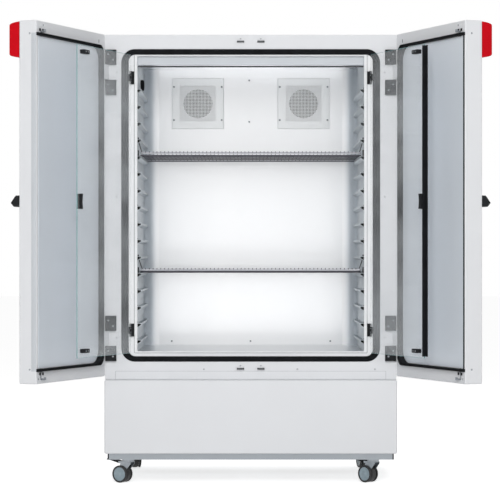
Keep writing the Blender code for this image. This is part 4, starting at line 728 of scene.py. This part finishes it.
class INCUBATOR_OT_trims(bpy.types.Operator):
    """Make the header over the chamber's mouth, the base's end caps, the left door's edge trim,
    and thin dark lines of painted shade under the header, at the lip bead's foot and on the seam"""
    bl_idname = "incubator.trims"
    bl_label = "Trims"

    def execute(self, context):
        low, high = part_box("chamber_wall_right")
        half, under, back = low.x + 0.0155, sizes().header_z, -0.0765
        header = pad((-half, -0.0805, under), (half, back, high.z - FILM), 0.0008, ALONG_X)
        piece("mouth_header", [header], "edge_trim")
        # A dark strip under the header: painted shade where the header hides the ceiling behind it
        strip = pad((-half, -0.0790, under - 0.0092), (half, back, under - 0.0028), 0.0006,
                    ALONG_X)
        piece("mouth_shadow_strip", [strip], "dark_coat")

        # Thin dark lines at the foot of the lip's bead: painted shade where the bead meets the
        # flat lip
        low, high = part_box("chamber_lip")
        face, foot = low.y + 0.01815, high.x - 0.0242
        front, back = face - 0.0006, face + FILM
        lines = [pad((side * foot, front, low.z + 0.0145),
                     (side * (foot + 0.0016), back, high.z - 0.0015), FILM, ALONG_Z, 1)
                 for side, _ in SIDES]
        lines.append(pad((-foot, front, low.z + 0.0129), (foot, back, low.z + 0.0143), FILM,
                         ALONG_X, 1))
        piece("lip_bead_foot", lines, "keeper_zinc")

        # Thin grey lines along the seam strip's top and ends: painted shadow of the seam's gap
        low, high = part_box("front_frame")
        face, end, top = high.y - 0.0167, high.x - 0.0455, low.z + 0.0352
        front, back = face - 0.0003, face + FILM
        lines = [pad((-end, front, top - 0.0008), (end, back, top + 0.0006), FILM, ALONG_X, 1)]
        lines += [pad((side * end - 0.0009, front, low.z + 0.0012),
                      (side * end + 0.0009, back, top), FILM, ALONG_Z, 1) for side, _ in SIDES]
        piece("seam_edges", lines, "painted_screw")

        low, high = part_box("base_frame")
        caps = [pad((side * (high.x + FILM), low.y - 0.0012, high.z - 0.0298),
                    (side * (high.x - 0.0052), low.y + 0.0100, high.z - FILM), 0.0006, ALONG_X)
                for side, _ in SIDES]
        piece("base_end_caps", caps, "black_nylon")

        low, high = closed_box("door_gasket_left", -1)
        trim = pad((high[0] - FILM, low[1] - 0.0225, low[2] + 0.002),
                   (high[0] + 0.0007, low[1] - 0.0008, high[2] - 0.002), 0.0003, ALONG_Z, 2)
        piece("left_edge_trim", [trim], "edge_trim", "door_left", carry=to_room(-1))
        return {"FINISHED"}


class INCUBATOR_OT_chamber_screws(bpy.types.Operator):
    """Put the screws in the back wall and on the front frame"""
    bl_idname = "incubator.chamber_screws"
    bl_label = "Chamber and frame screws"

    def execute(self, context):
        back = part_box("chamber_back_wall")[0].y
        heads = [screw_head(photo_place(px, py, back), FORWARD) for px, py in BACK_SCREWS_PX]
        piece("back_wall_screws", heads, "screw_steel")
        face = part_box("frame_gasket")[1].y + 0.0003
        places = [(side * 0.5748, z) for side, _ in SIDES for z in (1.7685, 1.2353, 0.6309)]
        places += [(x, 0.4952) for x in (-0.2012, 0.2003, 0.5328)]
        heads = [screw_head((x, face, z), FORWARD, tall=0.0012) for x, z in places]
        piece("front_frame_screws", heads, "painted_screw")
        return {"FINISHED"}


class INCUBATOR_OT_port_stopper(bpy.types.Operator):
    """Make the soft stopper of the access port, whose rounded end stands into the chamber"""
    bl_idname = "incubator.port_stopper"
    bl_label = "Port stopper"

    def execute(self, context):
        low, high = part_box("port_plug")
        radius, length = (high.z - low.z) / 2, high.x - low.x
        bore, neck = radius - 0.0074, length - 0.0098
        profile = [(0.0, -0.0152), (bore * 0.55, -0.0150), (bore * 0.82, -0.0138),
                   (bore * 0.95, -0.0110), (bore, -0.0070), (bore, neck), (radius - 0.0006, neck),
                   (radius, neck + 0.0010), (radius, length - 0.0042),
                   (radius - 0.0010, length - 0.0014), (radius - 0.0032, length), (0.0, length)]
        centre = (high.x, (low.y + high.y) / 2, (low.z + high.z) / 2)
        piece("port_stopper", [turned(profile, centre, (-1, 0, 0), 40)], "seal_rubber",
              "port_plug", "port_plug")
        return {"FINISHED"}


class INCUBATOR_OT_gaskets(bpy.types.Operator):
    """Make the ribbed seals of the front frame and the outer doors, and the doors' inner sheets"""
    bl_idname = "incubator.gaskets"
    bl_label = "Gaskets and inner sheets"

    def execute(self, context):
        low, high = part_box("frame_gasket")
        size, middle = high - low, (low + high) / 2
        outer = outline(size.x, size.z, 0.058, 12) + (middle.x, middle.z)
        lip_low, lip_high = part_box("chamber_lip")
        hole, middle = lip_high - lip_low, (lip_low + lip_high) / 2
        inner = outline(hole.x + 0.001, hole.z + 0.001, 0.030, 12) + (middle.x, middle.z)
        profile = [(share, -height * size.y) for share, height in BELLOWS]
        ring = skin(outline_between(inner, outer, profile, high.y), loop=True, capped=False)
        piece("frame_seal", [ring], "seal_rubber", stands_for="frame_gasket")
        side_w, bar_w = 0.0195, 0.012
        for side, name in SIDES:
            body, carry = "door_" + name, to_room(side)
            low, high = closed_box("door_liner_" + name, side)
            size, middle = high - low, (low + high) / 2
            curve = half_outline(size[0], size[2], 0.056, high[0], middle[2])
            sheet = skin([upright(curve, y) for y in (low[1], low[1] + SHEET)])
            piece("door_sheet_" + name, [sheet], "door_liner_steel", body,
                  "door_liner_" + name, carry)
            low, high = closed_box("door_gasket_" + name, side)
            size, middle = high - low, (low + high) / 2
            outer = half_outline(size[0], size[2], 0.020, high[0], middle[2])
            inner = half_outline(size[0] - side_w, size[2] - 2 * bar_w, 0.058, high[0], middle[2])
            profile = [(share, height * size[1]) for share, height in BELLOWS]
            shapes = [skin(outline_between(inner, outer, profile, low[1]))]
            if side > 0:
                shapes.append(pad((high[0] - 0.010, low[1], low[2] + bar_w - 0.004),
                                  (high[0] - 0.004, low[1] + 0.004, high[2] - bar_w + 0.004),
                                  0.0015, ALONG_Z))
            piece("door_seal_" + name, shapes, "seal_rubber", body, "door_gasket_" + name, carry)
        return {"FINISHED"}


class INCUBATOR_OT_glass_doors(bpy.types.Operator):
    """Make the inner glass doors with polished edges, hinge clamps, catches and grips"""
    bl_idname = "incubator.glass_doors"
    bl_label = "Glass doors"

    def execute(self, context):
        start, bevel, catch_deep, catch_half, grip_half = 0.008, 0.0012, 0.022, 0.0085, 0.031
        for side, name in SIDES:
            body, carry = "glass_" + name, to_room(side, "glass")
            (_, _, bottom), (free, _, top) = closed_box("glass_door_" + name, side, "glass")
            middle = (bottom + top) / 2
            pane = pad((start, 0.0, bottom), (free, GLASS, top), 0.0008, ALONG_Y, 4, 0.005)
            piece("glass_pane_" + name, [pane], "pane_glass", body, "glass_door_" + name, carry)
            edges = [pad((free - 0.0009, bevel, bottom + 0.001),
                         (free + FILM, GLASS - bevel, top - 0.001), 0.0003, ALONG_Z, 2)]
            edges += [pad((start + 0.002, bevel, z - out * 0.0009),
                          (free - 0.002, GLASS - bevel, z + out * FILM), 0.0003, ALONG_X, 2)
                      for z, out in ((top, 1), (bottom, -1))]
            piece("glass_edges_" + name, edges, "glass_edge", body, carry=carry)
            fittings, screws = [], []
            eye = [(0.0028, -0.0145), (0.0052, -0.0145), (0.0052, 0.0145), (0.0028, 0.0145),
                   (0.0028, -0.0145)]
            for end, catch_z in ((-1, bottom + 0.029), (1, top - 0.029)):
                z = middle + end * GLASS_HINGE_REACH
                clamp = GLASS + 0.0014
                fittings.append(pad((0.001, -0.0016, z - 0.0145), (0.020, clamp, z + 0.0145),
                                    0.0008))
                fittings.append(turned(eye, (0, 0, z), UPWARD, 20, capped=False))
                screws += [screw_head((0.0135, clamp, z + up), REARWARD, 0.0028, 0.0010)
                           for up in (-0.008, 0.008)]
                catch = GLASS + catch_deep
                fittings.append(pad((free - 0.068, GLASS - 0.0004, catch_z - catch_half),
                                    (free - 0.020, catch, catch_z + catch_half), 0.003,
                                    ALONG_Y, 4))
                screws += [screw_head((free - reach, catch, catch_z), REARWARD, 0.003, 0.001)
                           for reach in (0.034, 0.054)]
            fittings.append(pad((free - 0.036, -0.005, middle - grip_half),
                                (free - 0.012, 0.0004, middle + grip_half), 0.002, ALONG_Y, 4))
            rings = []
            for share in np.linspace(-1, 1, 17):
                height = 0.0085 - 0.0028 * (1 - share ** 2)
                flat = outline(0.024 * (1 - 0.12 * share ** 2), height, 0.0025, 3)
                flat = flat + (free - 0.024, GLASS + height / 2)
                rings.append(np.insert(flat, 2, middle + share * grip_half, axis=1))
            fittings.append(skin(rings))
            piece("glass_fittings_" + name, fittings, "black_nylon", body, carry=carry)
            piece("glass_screws_" + name, screws, "screw_steel", body, carry=carry)
        return {"FINISHED"}


class INCUBATOR_OT_door_fittings(bpy.types.Operator):
    """Put the screws, hook plates and slots on the outer doors' inner rims and free edges"""
    bl_idname = "incubator.door_fittings"
    bl_label = "Door fittings"

    def execute(self, context):
        plug = [(0.0, 0.0006), (0.0035, 0.0006), (0.0045, 0.0), (0.0045, -0.0004)]
        for side, name in SIDES:
            body, carry = "door_" + name, to_room(side)
            low, high = closed_box("door_shell_" + name, side)
            inner = closed_box("door_gasket_" + name, side)[0][1] - 0.0003
            screws = [screw_head((high[0], low[1] + 0.0481, z), SIDEWARD, tall=0.0014)
                      for z in (1.8769, 0.5241)]
            screws += [screw_head((u, inner, z), REARWARD, tall=0.0014)
                       for u, z in ((0.5565, 1.9139), (0.5957, 0.4854))]
            piece("door_screws_" + name, screws, "screw_steel", body, carry=carry)
            plugs = [turned(plug, (0.5812, inner, z), REARWARD, 24) for z in (1.9142, 0.4800)]
            piece("door_plugs_" + name, plugs, "lip_plastic", body, carry=carry)
            hook_low, hook_high = closed_box("latch_rod_" + name, side)
            middle, back = (hook_low[0] + hook_high[0]) / 2, inner - 0.0003
            plates = []
            for z in (hook_high[2] - 0.002, hook_low[2] + 0.0245):
                for u in (middle - 0.0125, middle + 0.0125):
                    plates.append(pad((u - 0.0050, back, z - 0.0055),
                                      (u + 0.0050, inner + 0.0030, z + 0.0055), 0.0008))
            plates.append(pad((0.0542, back, 1.8900), (0.0578, inner + 0.0006, 1.9040), 0.0003,
                              ALONG_Y, 2, 0.0015))
            piece("hook_plates_" + name, plates, "black_nylon", body, carry=carry)
        return {"FINISHED"}


def figure_bar(u, z, half_u, half_z, face, corner=None):
    """A thin bar on the display's face."""
    return pad((u - half_u, face - 0.0003, z - half_z), (u + half_u, face + FILM, z + half_z),
               0.0001, ALONG_Y, 1, corner)


def figures(text, centre_u, centre_z, face, tall):
    """Seven-segment figures: each segment is a thin bar of a figure half as wide as it is tall."""
    wide, bar = tall * 0.5, tall * 0.09
    pitch = wide * 1.45
    places = {"a": (0, 0.5), "g": (0, 0), "d": (0, -0.5), "b": (0.5, 0.25), "c": (0.5, -0.25),
              "f": (-0.5, 0.25), "e": (-0.5, -0.25)}
    digits = text.replace(".", "")
    first = centre_u - (len(digits) - 1) / 2 * pitch
    shapes = []
    for index, mark in enumerate(digits):
        for segment in SEGMENTS[mark]:
            across, up = places[segment]
            half = (bar / 2, tall / 4 - bar * 0.6) if across else (wide / 2 - bar * 0.7, bar / 2)
            shapes.append(figure_bar(first + index * pitch + across * wide, centre_z + up * tall,
                                     *half, face, bar * 0.3))
    if "." in text:
        shapes.append(figure_bar(first + (text.index(".") - 0.5) * pitch, centre_z - tall * 0.5,
                                 bar / 2, bar / 2, face, bar * 0.3))
    return shapes


def make_display(front):
    """The display on the right door's housing: its bezel, its glass and the figures."""
    body, carry = "door_right", to_room(1)
    low, high = closed_box("display_screen", 1)
    (wide, _, tall), (u, _, z) = high - low, (low + high) / 2
    face, behind = low[1] - 0.0009, low[1] - 0.0001
    profile = ((0.0, 0.0), (0.0, -0.0012), (0.4, -0.0022), (0.85, -0.0022), (1.0, -0.0010),
               (1.0, 0.0))
    bezel = outline_between(outline(wide - 0.002, tall - 0.002, 0.002, 4),
                            outline(wide + 0.010, tall + 0.010, 0.005, 4), profile, front)
    ring = shifted(skin(bezel, loop=True, capped=False), (u, 0.0, z))
    piece("display_bezel", [ring], "black_nylon", body, carry=carry)
    glass = pad((low[0] + 0.001, face, low[2] + 0.001), (high[0] - 0.001, behind, high[2] - 0.001),
                0.0003, ALONG_Y, 2, 0.001)
    piece("display_glass", [glass], "screen_glow", body, "display_screen", carry)
    marks = figures("37.0", u - 0.006, z + 0.004, face, 0.024)
    marks += figures("55", u + 0.036, z - 0.022, face, 0.012)
    marks += figures("12", u - 0.030, z - 0.022, face, 0.012)
    marks += [figure_bar(u, z + up, 0.052, 0.0003, face) for up in (0.0293, -0.0097)]
    piece("display_figures", marks, "digit_glow", body, carry=carry)


class INCUBATOR_OT_housings(bpy.types.Operator):
    """Make the red corner covers, with a shadow line, and the figures on the display"""
    bl_idname = "incubator.housings"
    bl_label = "Red housings and display"

    def execute(self, context):
        # Share of the depth, how far the outline is drawn in, radius of its corners
        levels = ((0.0, 0.0, 0.002), (0.30, 0.12, 0.003), (0.60, 0.34, 0.004),
                  (0.85, 0.66, 0.005), (0.95, 0.86, 0.006), (0.99, 1.02, 0.006),
                  (1.0, 1.16, 0.005))
        for side, name in SIDES:
            body, carry = "door_" + name, to_room(side)
            low, high = closed_box("door_housing_" + name, side)
            size, middle = high - low, (low + high) / 2
            rings = []
            for share, drawn, corner in levels:
                inset = 0.010 * drawn
                width = size[0] - 2 * inset - max(drawn - 0.9, 0) * 0.006
                flat = outline(width, size[2] - 2 * inset, corner, 5)
                flat = flat + (low[0] + 2 * inset + width / 2, middle[2])
                rings.append(upright(flat, high[1] - size[1] * share))
            piece("red_housing_" + name, [skin(rings)], "red_cover", body,
                  "door_housing_" + name, carry)
            if side > 0:
                make_display(low[1] - 0.0001)
        return {"FINISHED"}


class INCUBATOR_OT_handles(bpy.types.Operator):
    """Make the lever handles with a round boss and a grip that tapers off the door"""
    bl_idname = "incubator.handles"
    bl_label = "Handles"

    def execute(self, context):
        # Reach from the pivot, share of the height, near and far face as shares of the depth
        grip = ((0.004, 1.0, 0.0, 1.0), (-0.022, 0.99, 0.0, 1.0), (-0.029, 0.97, 0.06, 0.99),
                (-0.033, 0.94, 0.30, 0.985), (-0.042, 0.89, 0.42, 0.98),
                (-0.060, 0.82, 0.44, 0.965), (-0.090, 0.76, 0.45, 0.94),
                (-0.115, 0.70, 0.47, 0.91))
        # The grip's back is a ridge: how deep it is at its foot, its ridge and its top
        ridge, heights, depths = -0.36, (-1.0, -0.36, 1.0), (0.76, 1.0, 0.56)
        for side, name in SIDES:
            carry = to_room(side)
            low, high = closed_box("door_handle_" + name, side)
            pivot = to_leaf(np.array(JOINTS["handle_%s_turn" % name]["pos_m"]), side)
            deep, half = high[1] - low[1], (high[2] - low[2]) / 2
            stations = [(high[0], 0.70, 0.0, 0.93), (high[0] - 0.002, 0.86, 0.0, 0.97),
                        (high[0] - 0.008, 0.98, 0.0, 1.0)]
            stations += [(pivot[0] + reach, *rest) for reach, *rest in grip]
            stations += [(low[0] + 0.004, 0.62, 0.50, 0.86), (low[0], 0.50, 0.56, 0.80)]
            rings = []
            for u, tall, near, far in stations:
                thick, rise = (far - near) * deep, half * tall
                flat = outline(thick, 2 * rise, min(0.004, thick * 0.3), 5)
                flat = np.vstack([flat, (thick / 2, ridge * rise)])
                reach = np.interp(flat[:, 1] / rise, heights, depths)
                y = high[1] - near * deep - (flat[:, 0] + thick / 2) * reach
                rings.append(np.column_stack([np.full(len(y), u), y, flat[:, 1] + pivot[2]]))
            cap = turned([(0.0, 0.0012), (0.007, 0.0010), (0.0085, 0.0), (0.0085, -0.002)],
                         (pivot[0], low[1] + 0.0012, pivot[2] - 0.004), FORWARD, 28)
            piece("handle_" + name, [skin(rings), cap], "black_nylon", "handle_" + name,
                  "door_handle_" + name, carry)
        return {"FINISHED"}


class INCUBATOR_OT_hinges(bpy.types.Operator):
    """Put the screws on the outer hinges and the black hinge plates on the chamber's lip"""
    bl_idname = "incubator.hinges"
    bl_label = "Hinges"

    def execute(self, context):
        middle, half, lug = 1.20425, 0.0277, 0.0153
        eye_x, eye_y, eye_radius = 0.514, -0.11225, 0.0054
        for side, name in SIDES:
            screws, plates = [], []
            for level in ("lower", "upper"):
                low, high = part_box("door_hinge_%s_%s" % (name, level))
                screws += [screw_head((side * x, low.y, z + lift), FORWARD, tall=0.0014)
                           for z in (low.z + 0.032, high.z - 0.032)
                           for x, lift in ((0.6100, 0.012), (0.5900, -0.012))]
            piece("hinge_screws_" + name, screws, "screw_steel")
            for z in (middle - GLASS_HINGE_REACH, middle + GLASS_HINGE_REACH):
                plates.append(pad((side * 0.4995, -0.1034, z - half),
                                  (side * 0.5198, -0.0986, z + half), 0.0006))
                for ends in ((z - half, z - lug), (z + lug, z + half)):
                    plates.append(pad((side * 0.5086, -0.1125, ends[0]),
                                      (side * 0.5194, -0.1000, ends[1]), 0.0006, ALONG_Z))
                    plates.append(turned([(eye_radius, end) for end in ends],
                                         (side * eye_x, eye_y, 0.0), UPWARD, 24))
            piece("glass_hinge_plates_" + name, plates, "black_nylon")
        return {"FINISHED"}


class INCUBATOR_OT_latches(bpy.types.Operator):
    """Cover the keepers on the front frame with their plated staples"""
    bl_idname = "incubator.latches"
    bl_label = "Latch keepers"

    def execute(self, context):
        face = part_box("frame_gasket")[1].y + 0.0003
        front, bar, reach, thick = face - 0.0127, 0.0037, 0.0152, 0.0034
        shapes, heads = [], []
        for side, _ in SIDES:
            x = side * KEEPER_X
            for z in KEEPER_HEIGHTS:
                for leg in (-1, 1):
                    shapes.append(pad((x + leg * reach, front, z - bar),
                                      (x + leg * (reach - thick), face + FILM, z + bar), 0.0004,
                                      ALONG_Y, 2))
                shapes.append(pad((x - reach, front, z - bar), (x + reach, front + thick, z + bar),
                                  0.0005, ALONG_X, 2))
                heads.append(screw_head((x, face, z + 0.0125), FORWARD, 0.0036, 0.0010))
        piece("latch_keepers", shapes, "keeper_zinc")
        piece("keeper_screws", heads, "painted_screw")
        return {"FINISHED"}


class INCUBATOR_OT_casters(bpy.types.Operator):
    """Make the casters' wheels: a core between the fork's legs and a narrow wheel on each side"""
    bl_idname = "incubator.casters"
    bl_label = "Casters"

    def execute(self, context):
        # Half the core's width, and where a narrow wheel starts and ends on the axle
        core, inner, outer = 0.0129, 0.0181, 0.0250
        axle, hollow, dish = 0.0046, 0.0295, 0.0297
        for place in ("front_left", "front_right", "rear_left", "rear_right"):
            joint = JOINTS["wheel_%s_roll" % place]
            centre, axis = joint["pos_m"], joint["axis"]
            low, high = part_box("caster_wheel_" + place)
            radius = (high.z - low.z) / 2
            share = np.linspace(-1, 1, 13)
            tyres, discs = [], []
            for start, end, reach in ((-core, core, radius - 0.0006), (inner, outer, radius),
                                      (-outer, -inner, radius)):
                along = (start + end) / 2 + share * (end - start) / 2
                tread = [*zip(reach - 0.0022 * np.abs(share) ** 4, along)]
                profile = [(hollow, start), *tread, (hollow, end), (hollow, start)]
                tyres.append(turned(profile, centre, axis, 48, capped=False))
            for end in (-1, 1):
                disc = ((0.0, outer), (0.0060, outer), (0.0080, outer - 0.0012),
                        (0.0215, outer - 0.0016), (0.0245, outer - 0.0004),
                        (0.0288, outer - 0.0008), (dish, outer - 0.0020), (dish, inner + FILM),
                        (axle, inner + FILM), (axle, 0.0206), (0.0, 0.0206))
                hub = ((axle, FILM), (dish, FILM), (dish, core - 0.0010), (axle, core - 0.0010),
                       (axle, FILM))
                discs.append(turned([(r, end * x) for r, x in disc], centre, axis, 40))
                discs.append(turned([(r, end * x) for r, x in hub], centre, axis, 32,
                                    capped=False))
            body = "wheel_" + place
            piece("tyre_" + place, tyres, "wheel_tyre", body, "caster_wheel_" + place)
            piece("wheel_discs_" + place, discs, "wheel_disc_grey", body)
        return {"FINISHED"}


class INCUBATOR_OT_rear(bpy.types.Operator):
    """Make the rear panel's louvre hoods and screws, and the inlet's contacts"""
    bl_idname = "incubator.rear"
    bl_label = "Rear panel"

    def execute(self, context):
        low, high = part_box("rear_panel")
        across, bulge = np.linspace(-1, 1, 33)[:, None], np.linspace(0, 1, 9)[None]
        rise = 0.0055 * (1 - np.abs(across) ** 6) * np.sin(bulge * math.pi / 2) ** 0.8
        coil_low, coil_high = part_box("condenser")
        middle = (coil_low.x + coil_high.x) / 2
        hoods = []
        for centre in (middle - 0.110, middle + 0.110):
            for row in range(5):
                top = low.z + 0.025 + row * 0.050 + 0.026
                grid = np.broadcast_arrays(centre + across * 0.094, high.y + 0.0001 + rise,
                                           top - bulge * 0.018)
                hoods.append(skin(np.stack(grid, axis=-1), wrap=False, capped=False))
        thicken(piece("louvre_hoods", hoods, "white_enamel", smooth=60), 0.0009)
        xs = np.linspace(low.x + 0.012, high.x - 0.012, 5)
        zs = np.linspace(low.z + 0.012, high.z - 0.012, 7)
        places = [(x, z) for x in xs for z in (zs[0], zs[-1])]
        places += [(x, z) for z in zs[1:-1] for x in (xs[0], xs[-1])]
        heads = [screw_head((x, high.y, z), REARWARD, tall=0.0016) for x, z in places]
        piece("rear_screws", heads, "screw_steel")
        low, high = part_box("mains_inlet")
        middle = (low + high) / 2
        pins = [pad((middle.x + x - 0.001, high.y - 0.0178, middle.z + z - 0.002),
                    (middle.x + x + 0.001, high.y - 0.004, middle.z + z + 0.002), 0.0005)
                for x, z in ((-0.007, -0.002), (0.0, 0.003), (0.007, -0.002))]
        piece("inlet_contacts", pins, "contact_brass")
        profile = ((0.0, 0.0), (0.0, 0.0004), (0.9, 0.0004), (1.0, 0.0), (1.0, -0.0020),
                   (0.96, -0.0020))
        rim = outline_between(outline(0.0270, 0.0190, 0.003, 5), outline(0.0540, 0.0350, 0.006, 5),
                              profile, high.y)
        ring = shifted(skin(rim, loop=True, capped=False), (middle.x, 0.0, middle.z))
        piece("inlet_rim", [ring], "black_nylon")
        return {"FINISHED"}


def seen_rays(tree):
    """One where a camera, glossy or transmission ray asks, and nothing elsewhere."""
    path = shader_node(tree, "LightPath", {})
    total = path.outputs["Is Camera Ray"]
    for kind in ("Is Glossy Ray", "Is Transmission Ray"):
        total = shader_node(tree, "Math", {0: total, 1: path.outputs[kind]},
                            operation="MAXIMUM").outputs[0]
    return total


def floor_material():
    """A pale floor that reads as white to the camera where no shadow falls on it."""
    made = bpy.data.materials.new("pale_floor")
    made.use_nodes = True
    tree = made.node_tree
    shader = tree.nodes["Principled BSDF"]
    for name, value in (("Base Color", (0.86, 0.86, 0.86, 1.0)), ("Roughness", 0.9),
                        ("Specular IOR Level", 0.0), ("Emission Color", (1.0, 1.0, 1.0, 1.0))):
        shader.inputs[name].default_value = value
    level = shader_node(tree, "Math", {0: seen_rays(tree), 1: sizes().floor_glow},
                        operation="MULTIPLY")
    tree.links.new(level.outputs[0], shader.inputs["Emission Strength"])
    return made


class INCUBATOR_OT_stage(bpy.types.Operator):
    """Set up the pale floor, the soft lights and the camera at the photograph's place"""
    bl_idname = "incubator.stage"
    bl_label = "Stage"

    def execute(self, context):
        scene = context.scene
        scene.view_settings.view_transform = "Standard"
        for old in [thing for thing in bpy.data.objects if thing.type in ("LIGHT", "CAMERA")]:
            bpy.data.objects.remove(old, do_unlink=True)

        reach, below = 40.0, -0.0002
        mesh = bpy.data.meshes.new("floor")
        corners = [(-reach, -reach), (reach, -reach), (reach, reach), (-reach, reach)]
        mesh.from_pydata([(*corner, below) for corner in corners], [], [(0, 1, 2, 3)])
        mesh.materials.append(floor_material())
        floor = bpy.data.objects.new("floor", mesh)
        scene.collection.objects.link(floor)

        world = bpy.data.worlds.new("studio")
        scene.world = world
        world.use_nodes = True
        tree = world.node_tree
        level = shader_node(tree, "MapRange", {
            "Value": seen_rays(tree), "To Min": sizes().ambient, "To Max": 1.0})
        back = tree.nodes["Background"]
        back.inputs["Color"].default_value = (1.0, 1.0, 1.0, 1.0)
        tree.links.new(level.outputs["Result"], back.inputs["Strength"])

        for name, place, size, power in (("key", (-0.3, -8.4, 3.2), 3.2, sizes().key_power),
                                         ("fill", (1.4, -8.6, 1.6), 3.0, sizes().fill_power),
                                         ("top", (0.0, 0.5, 5.0), 3.4, sizes().fill_power),
                                         ("rear", (0.5, 6.0, 3.5), 3.4, sizes().fill_power)):
            data = bpy.data.lights.new(name, "AREA")
            data.shape = "DISK"
            data.size = size
            data.energy = power
            lamp = bpy.data.objects.new(name, data)
            lamp.location = place
            aim = Vector((0.0, 0.0, 0.95)) - Vector(place)
            lamp.rotation_euler = aim.to_track_quat("-Z", "Y").to_euler()
            lamp.visible_glossy = False
            scene.collection.objects.link(lamp)

        data = bpy.data.cameras.new("camera")
        data.sensor_width = 36.0
        data.lens = FOCAL_PX / IMAGE * data.sensor_width
        data.shift_x = (IMAGE / 2 - CENTRE_PX[0]) / IMAGE
        data.shift_y = (CENTRE_PX[1] - IMAGE / 2) / IMAGE
        data.clip_end = 200.0
        camera = bpy.data.objects.new("camera", data)
        camera.location = (0.0, CAMERA_Y, CAMERA_Z)
        camera.rotation_euler = (math.radians(90), 0.0, 0.0)
        scene.collection.objects.link(camera)
        scene.camera = camera
        return {"FINISHED"}


# Values that a user would change

def length(name, default, description):
    return FloatProperty(name=name, description=description, default=default, unit="LENGTH",
                         precision=4)


def power(name, default, description):
    return FloatProperty(name=name, description=description, default=default, unit="POWER")


def colour(name, default, description):
    return FloatVectorProperty(name=name, description=description, default=default, size=3,
                               subtype="COLOR", min=0.0, max=1.0)


class IncubatorSizes(bpy.types.PropertyGroup):
    """Sizes of the fine pieces and levels of the lights"""
    grille_count: IntProperty(name="Grille holes", default=25, min=5,
                              description="Holes in a row of a fan grille")
    grille_pitch: length("Grille pitch", 0.0066, "From hole to hole")
    grille_hole: length("Grille hole", 0.0043, "Side of one hole")
    wire_radius: length("Wire radius", 0.0014, "Radius of a rack's wires")
    wire_pitch: length("Wire pitch", 0.0165, "From wire to wire")
    cove_radius: length("Cove radius", 0.066, "Radius of the chamber's rear corners")
    header_z: length("Header height", 1.8017, "Height of the header's lower edge over the floor")
    ambient: FloatProperty(name="Ambient light", default=0.29,
                           description="Strength of the studio's even light")
    key_power: power("Key light", 410.0, "Power of the main lamp")
    fill_power: power("Fill light", 40.0, "Power of the other lamps")
    floor_glow: FloatProperty(name="Floor glow", default=0.72,
                              description="Light that the floor adds to its own white")


class IncubatorColours(bpy.types.PropertyGroup):
    """Colours of the main finishes"""
    # The glass veil is a painted reflection: a pale film for the glass's reflection of the bright
    # room
    veil: FloatProperty(name="Glass veil", default=0.145, min=0.0, max=1.0,
                        description="How far the glass hides what lies behind it")
    paint: colour("Enamel", (0.735, 0.745, 0.765), "Colour of the painted panels")
    liner: colour("Door liner", (0.74, 0.785, 0.84), "Colour of the doors' inner sheets")
    housing: colour("Housing", (0.585, 0.002, 0.009), "Colour of the corner covers")


OPERATORS = (
    INCUBATOR_OT_cad_finishes, INCUBATOR_OT_fan_grilles, INCUBATOR_OT_shelves,
    INCUBATOR_OT_rack_clips, INCUBATOR_OT_coves, INCUBATOR_OT_trims, INCUBATOR_OT_chamber_screws,
    INCUBATOR_OT_port_stopper, INCUBATOR_OT_gaskets, INCUBATOR_OT_glass_doors,
    INCUBATOR_OT_door_fittings, INCUBATOR_OT_housings, INCUBATOR_OT_handles, INCUBATOR_OT_hinges,
    INCUBATOR_OT_latches, INCUBATOR_OT_casters, INCUBATOR_OT_rear, INCUBATOR_OT_stage)


class INCUBATOR_PT_panel(bpy.types.Panel):
    """The sidebar panel that lists the incubator's operators"""
    bl_idname = "INCUBATOR_PT_panel"
    bl_label = "Incubator"
    bl_space_type = "VIEW_3D"
    bl_region_type = "UI"
    bl_category = "Incubator"

    def draw(self, context):
        layout = self.layout
        for group in (context.scene.incubator_sizes, context.scene.incubator_colours):
            for name in group.bl_rna.properties.keys():
                if name not in ("rna_type", "name"):
                    layout.prop(group, name)
        for operator in OPERATORS:
            layout.operator(operator.bl_idname)


CLASSES = (IncubatorSizes, IncubatorColours, *OPERATORS, INCUBATOR_PT_panel)


def register():
    for cls in CLASSES:
        bpy.utils.register_class(cls)
    bpy.types.Scene.incubator_sizes = PointerProperty(type=IncubatorSizes)
    bpy.types.Scene.incubator_colours = PointerProperty(type=IncubatorColours)


def unregister():
    del bpy.types.Scene.incubator_sizes
    del bpy.types.Scene.incubator_colours
    for cls in reversed(CLASSES):
        bpy.utils.unregister_class(cls)


def main():
    register()
    for operator in OPERATORS:
        getattr(bpy.ops.incubator, operator.bl_idname.split(".")[1])()


if __name__ == "__main__":
    main()
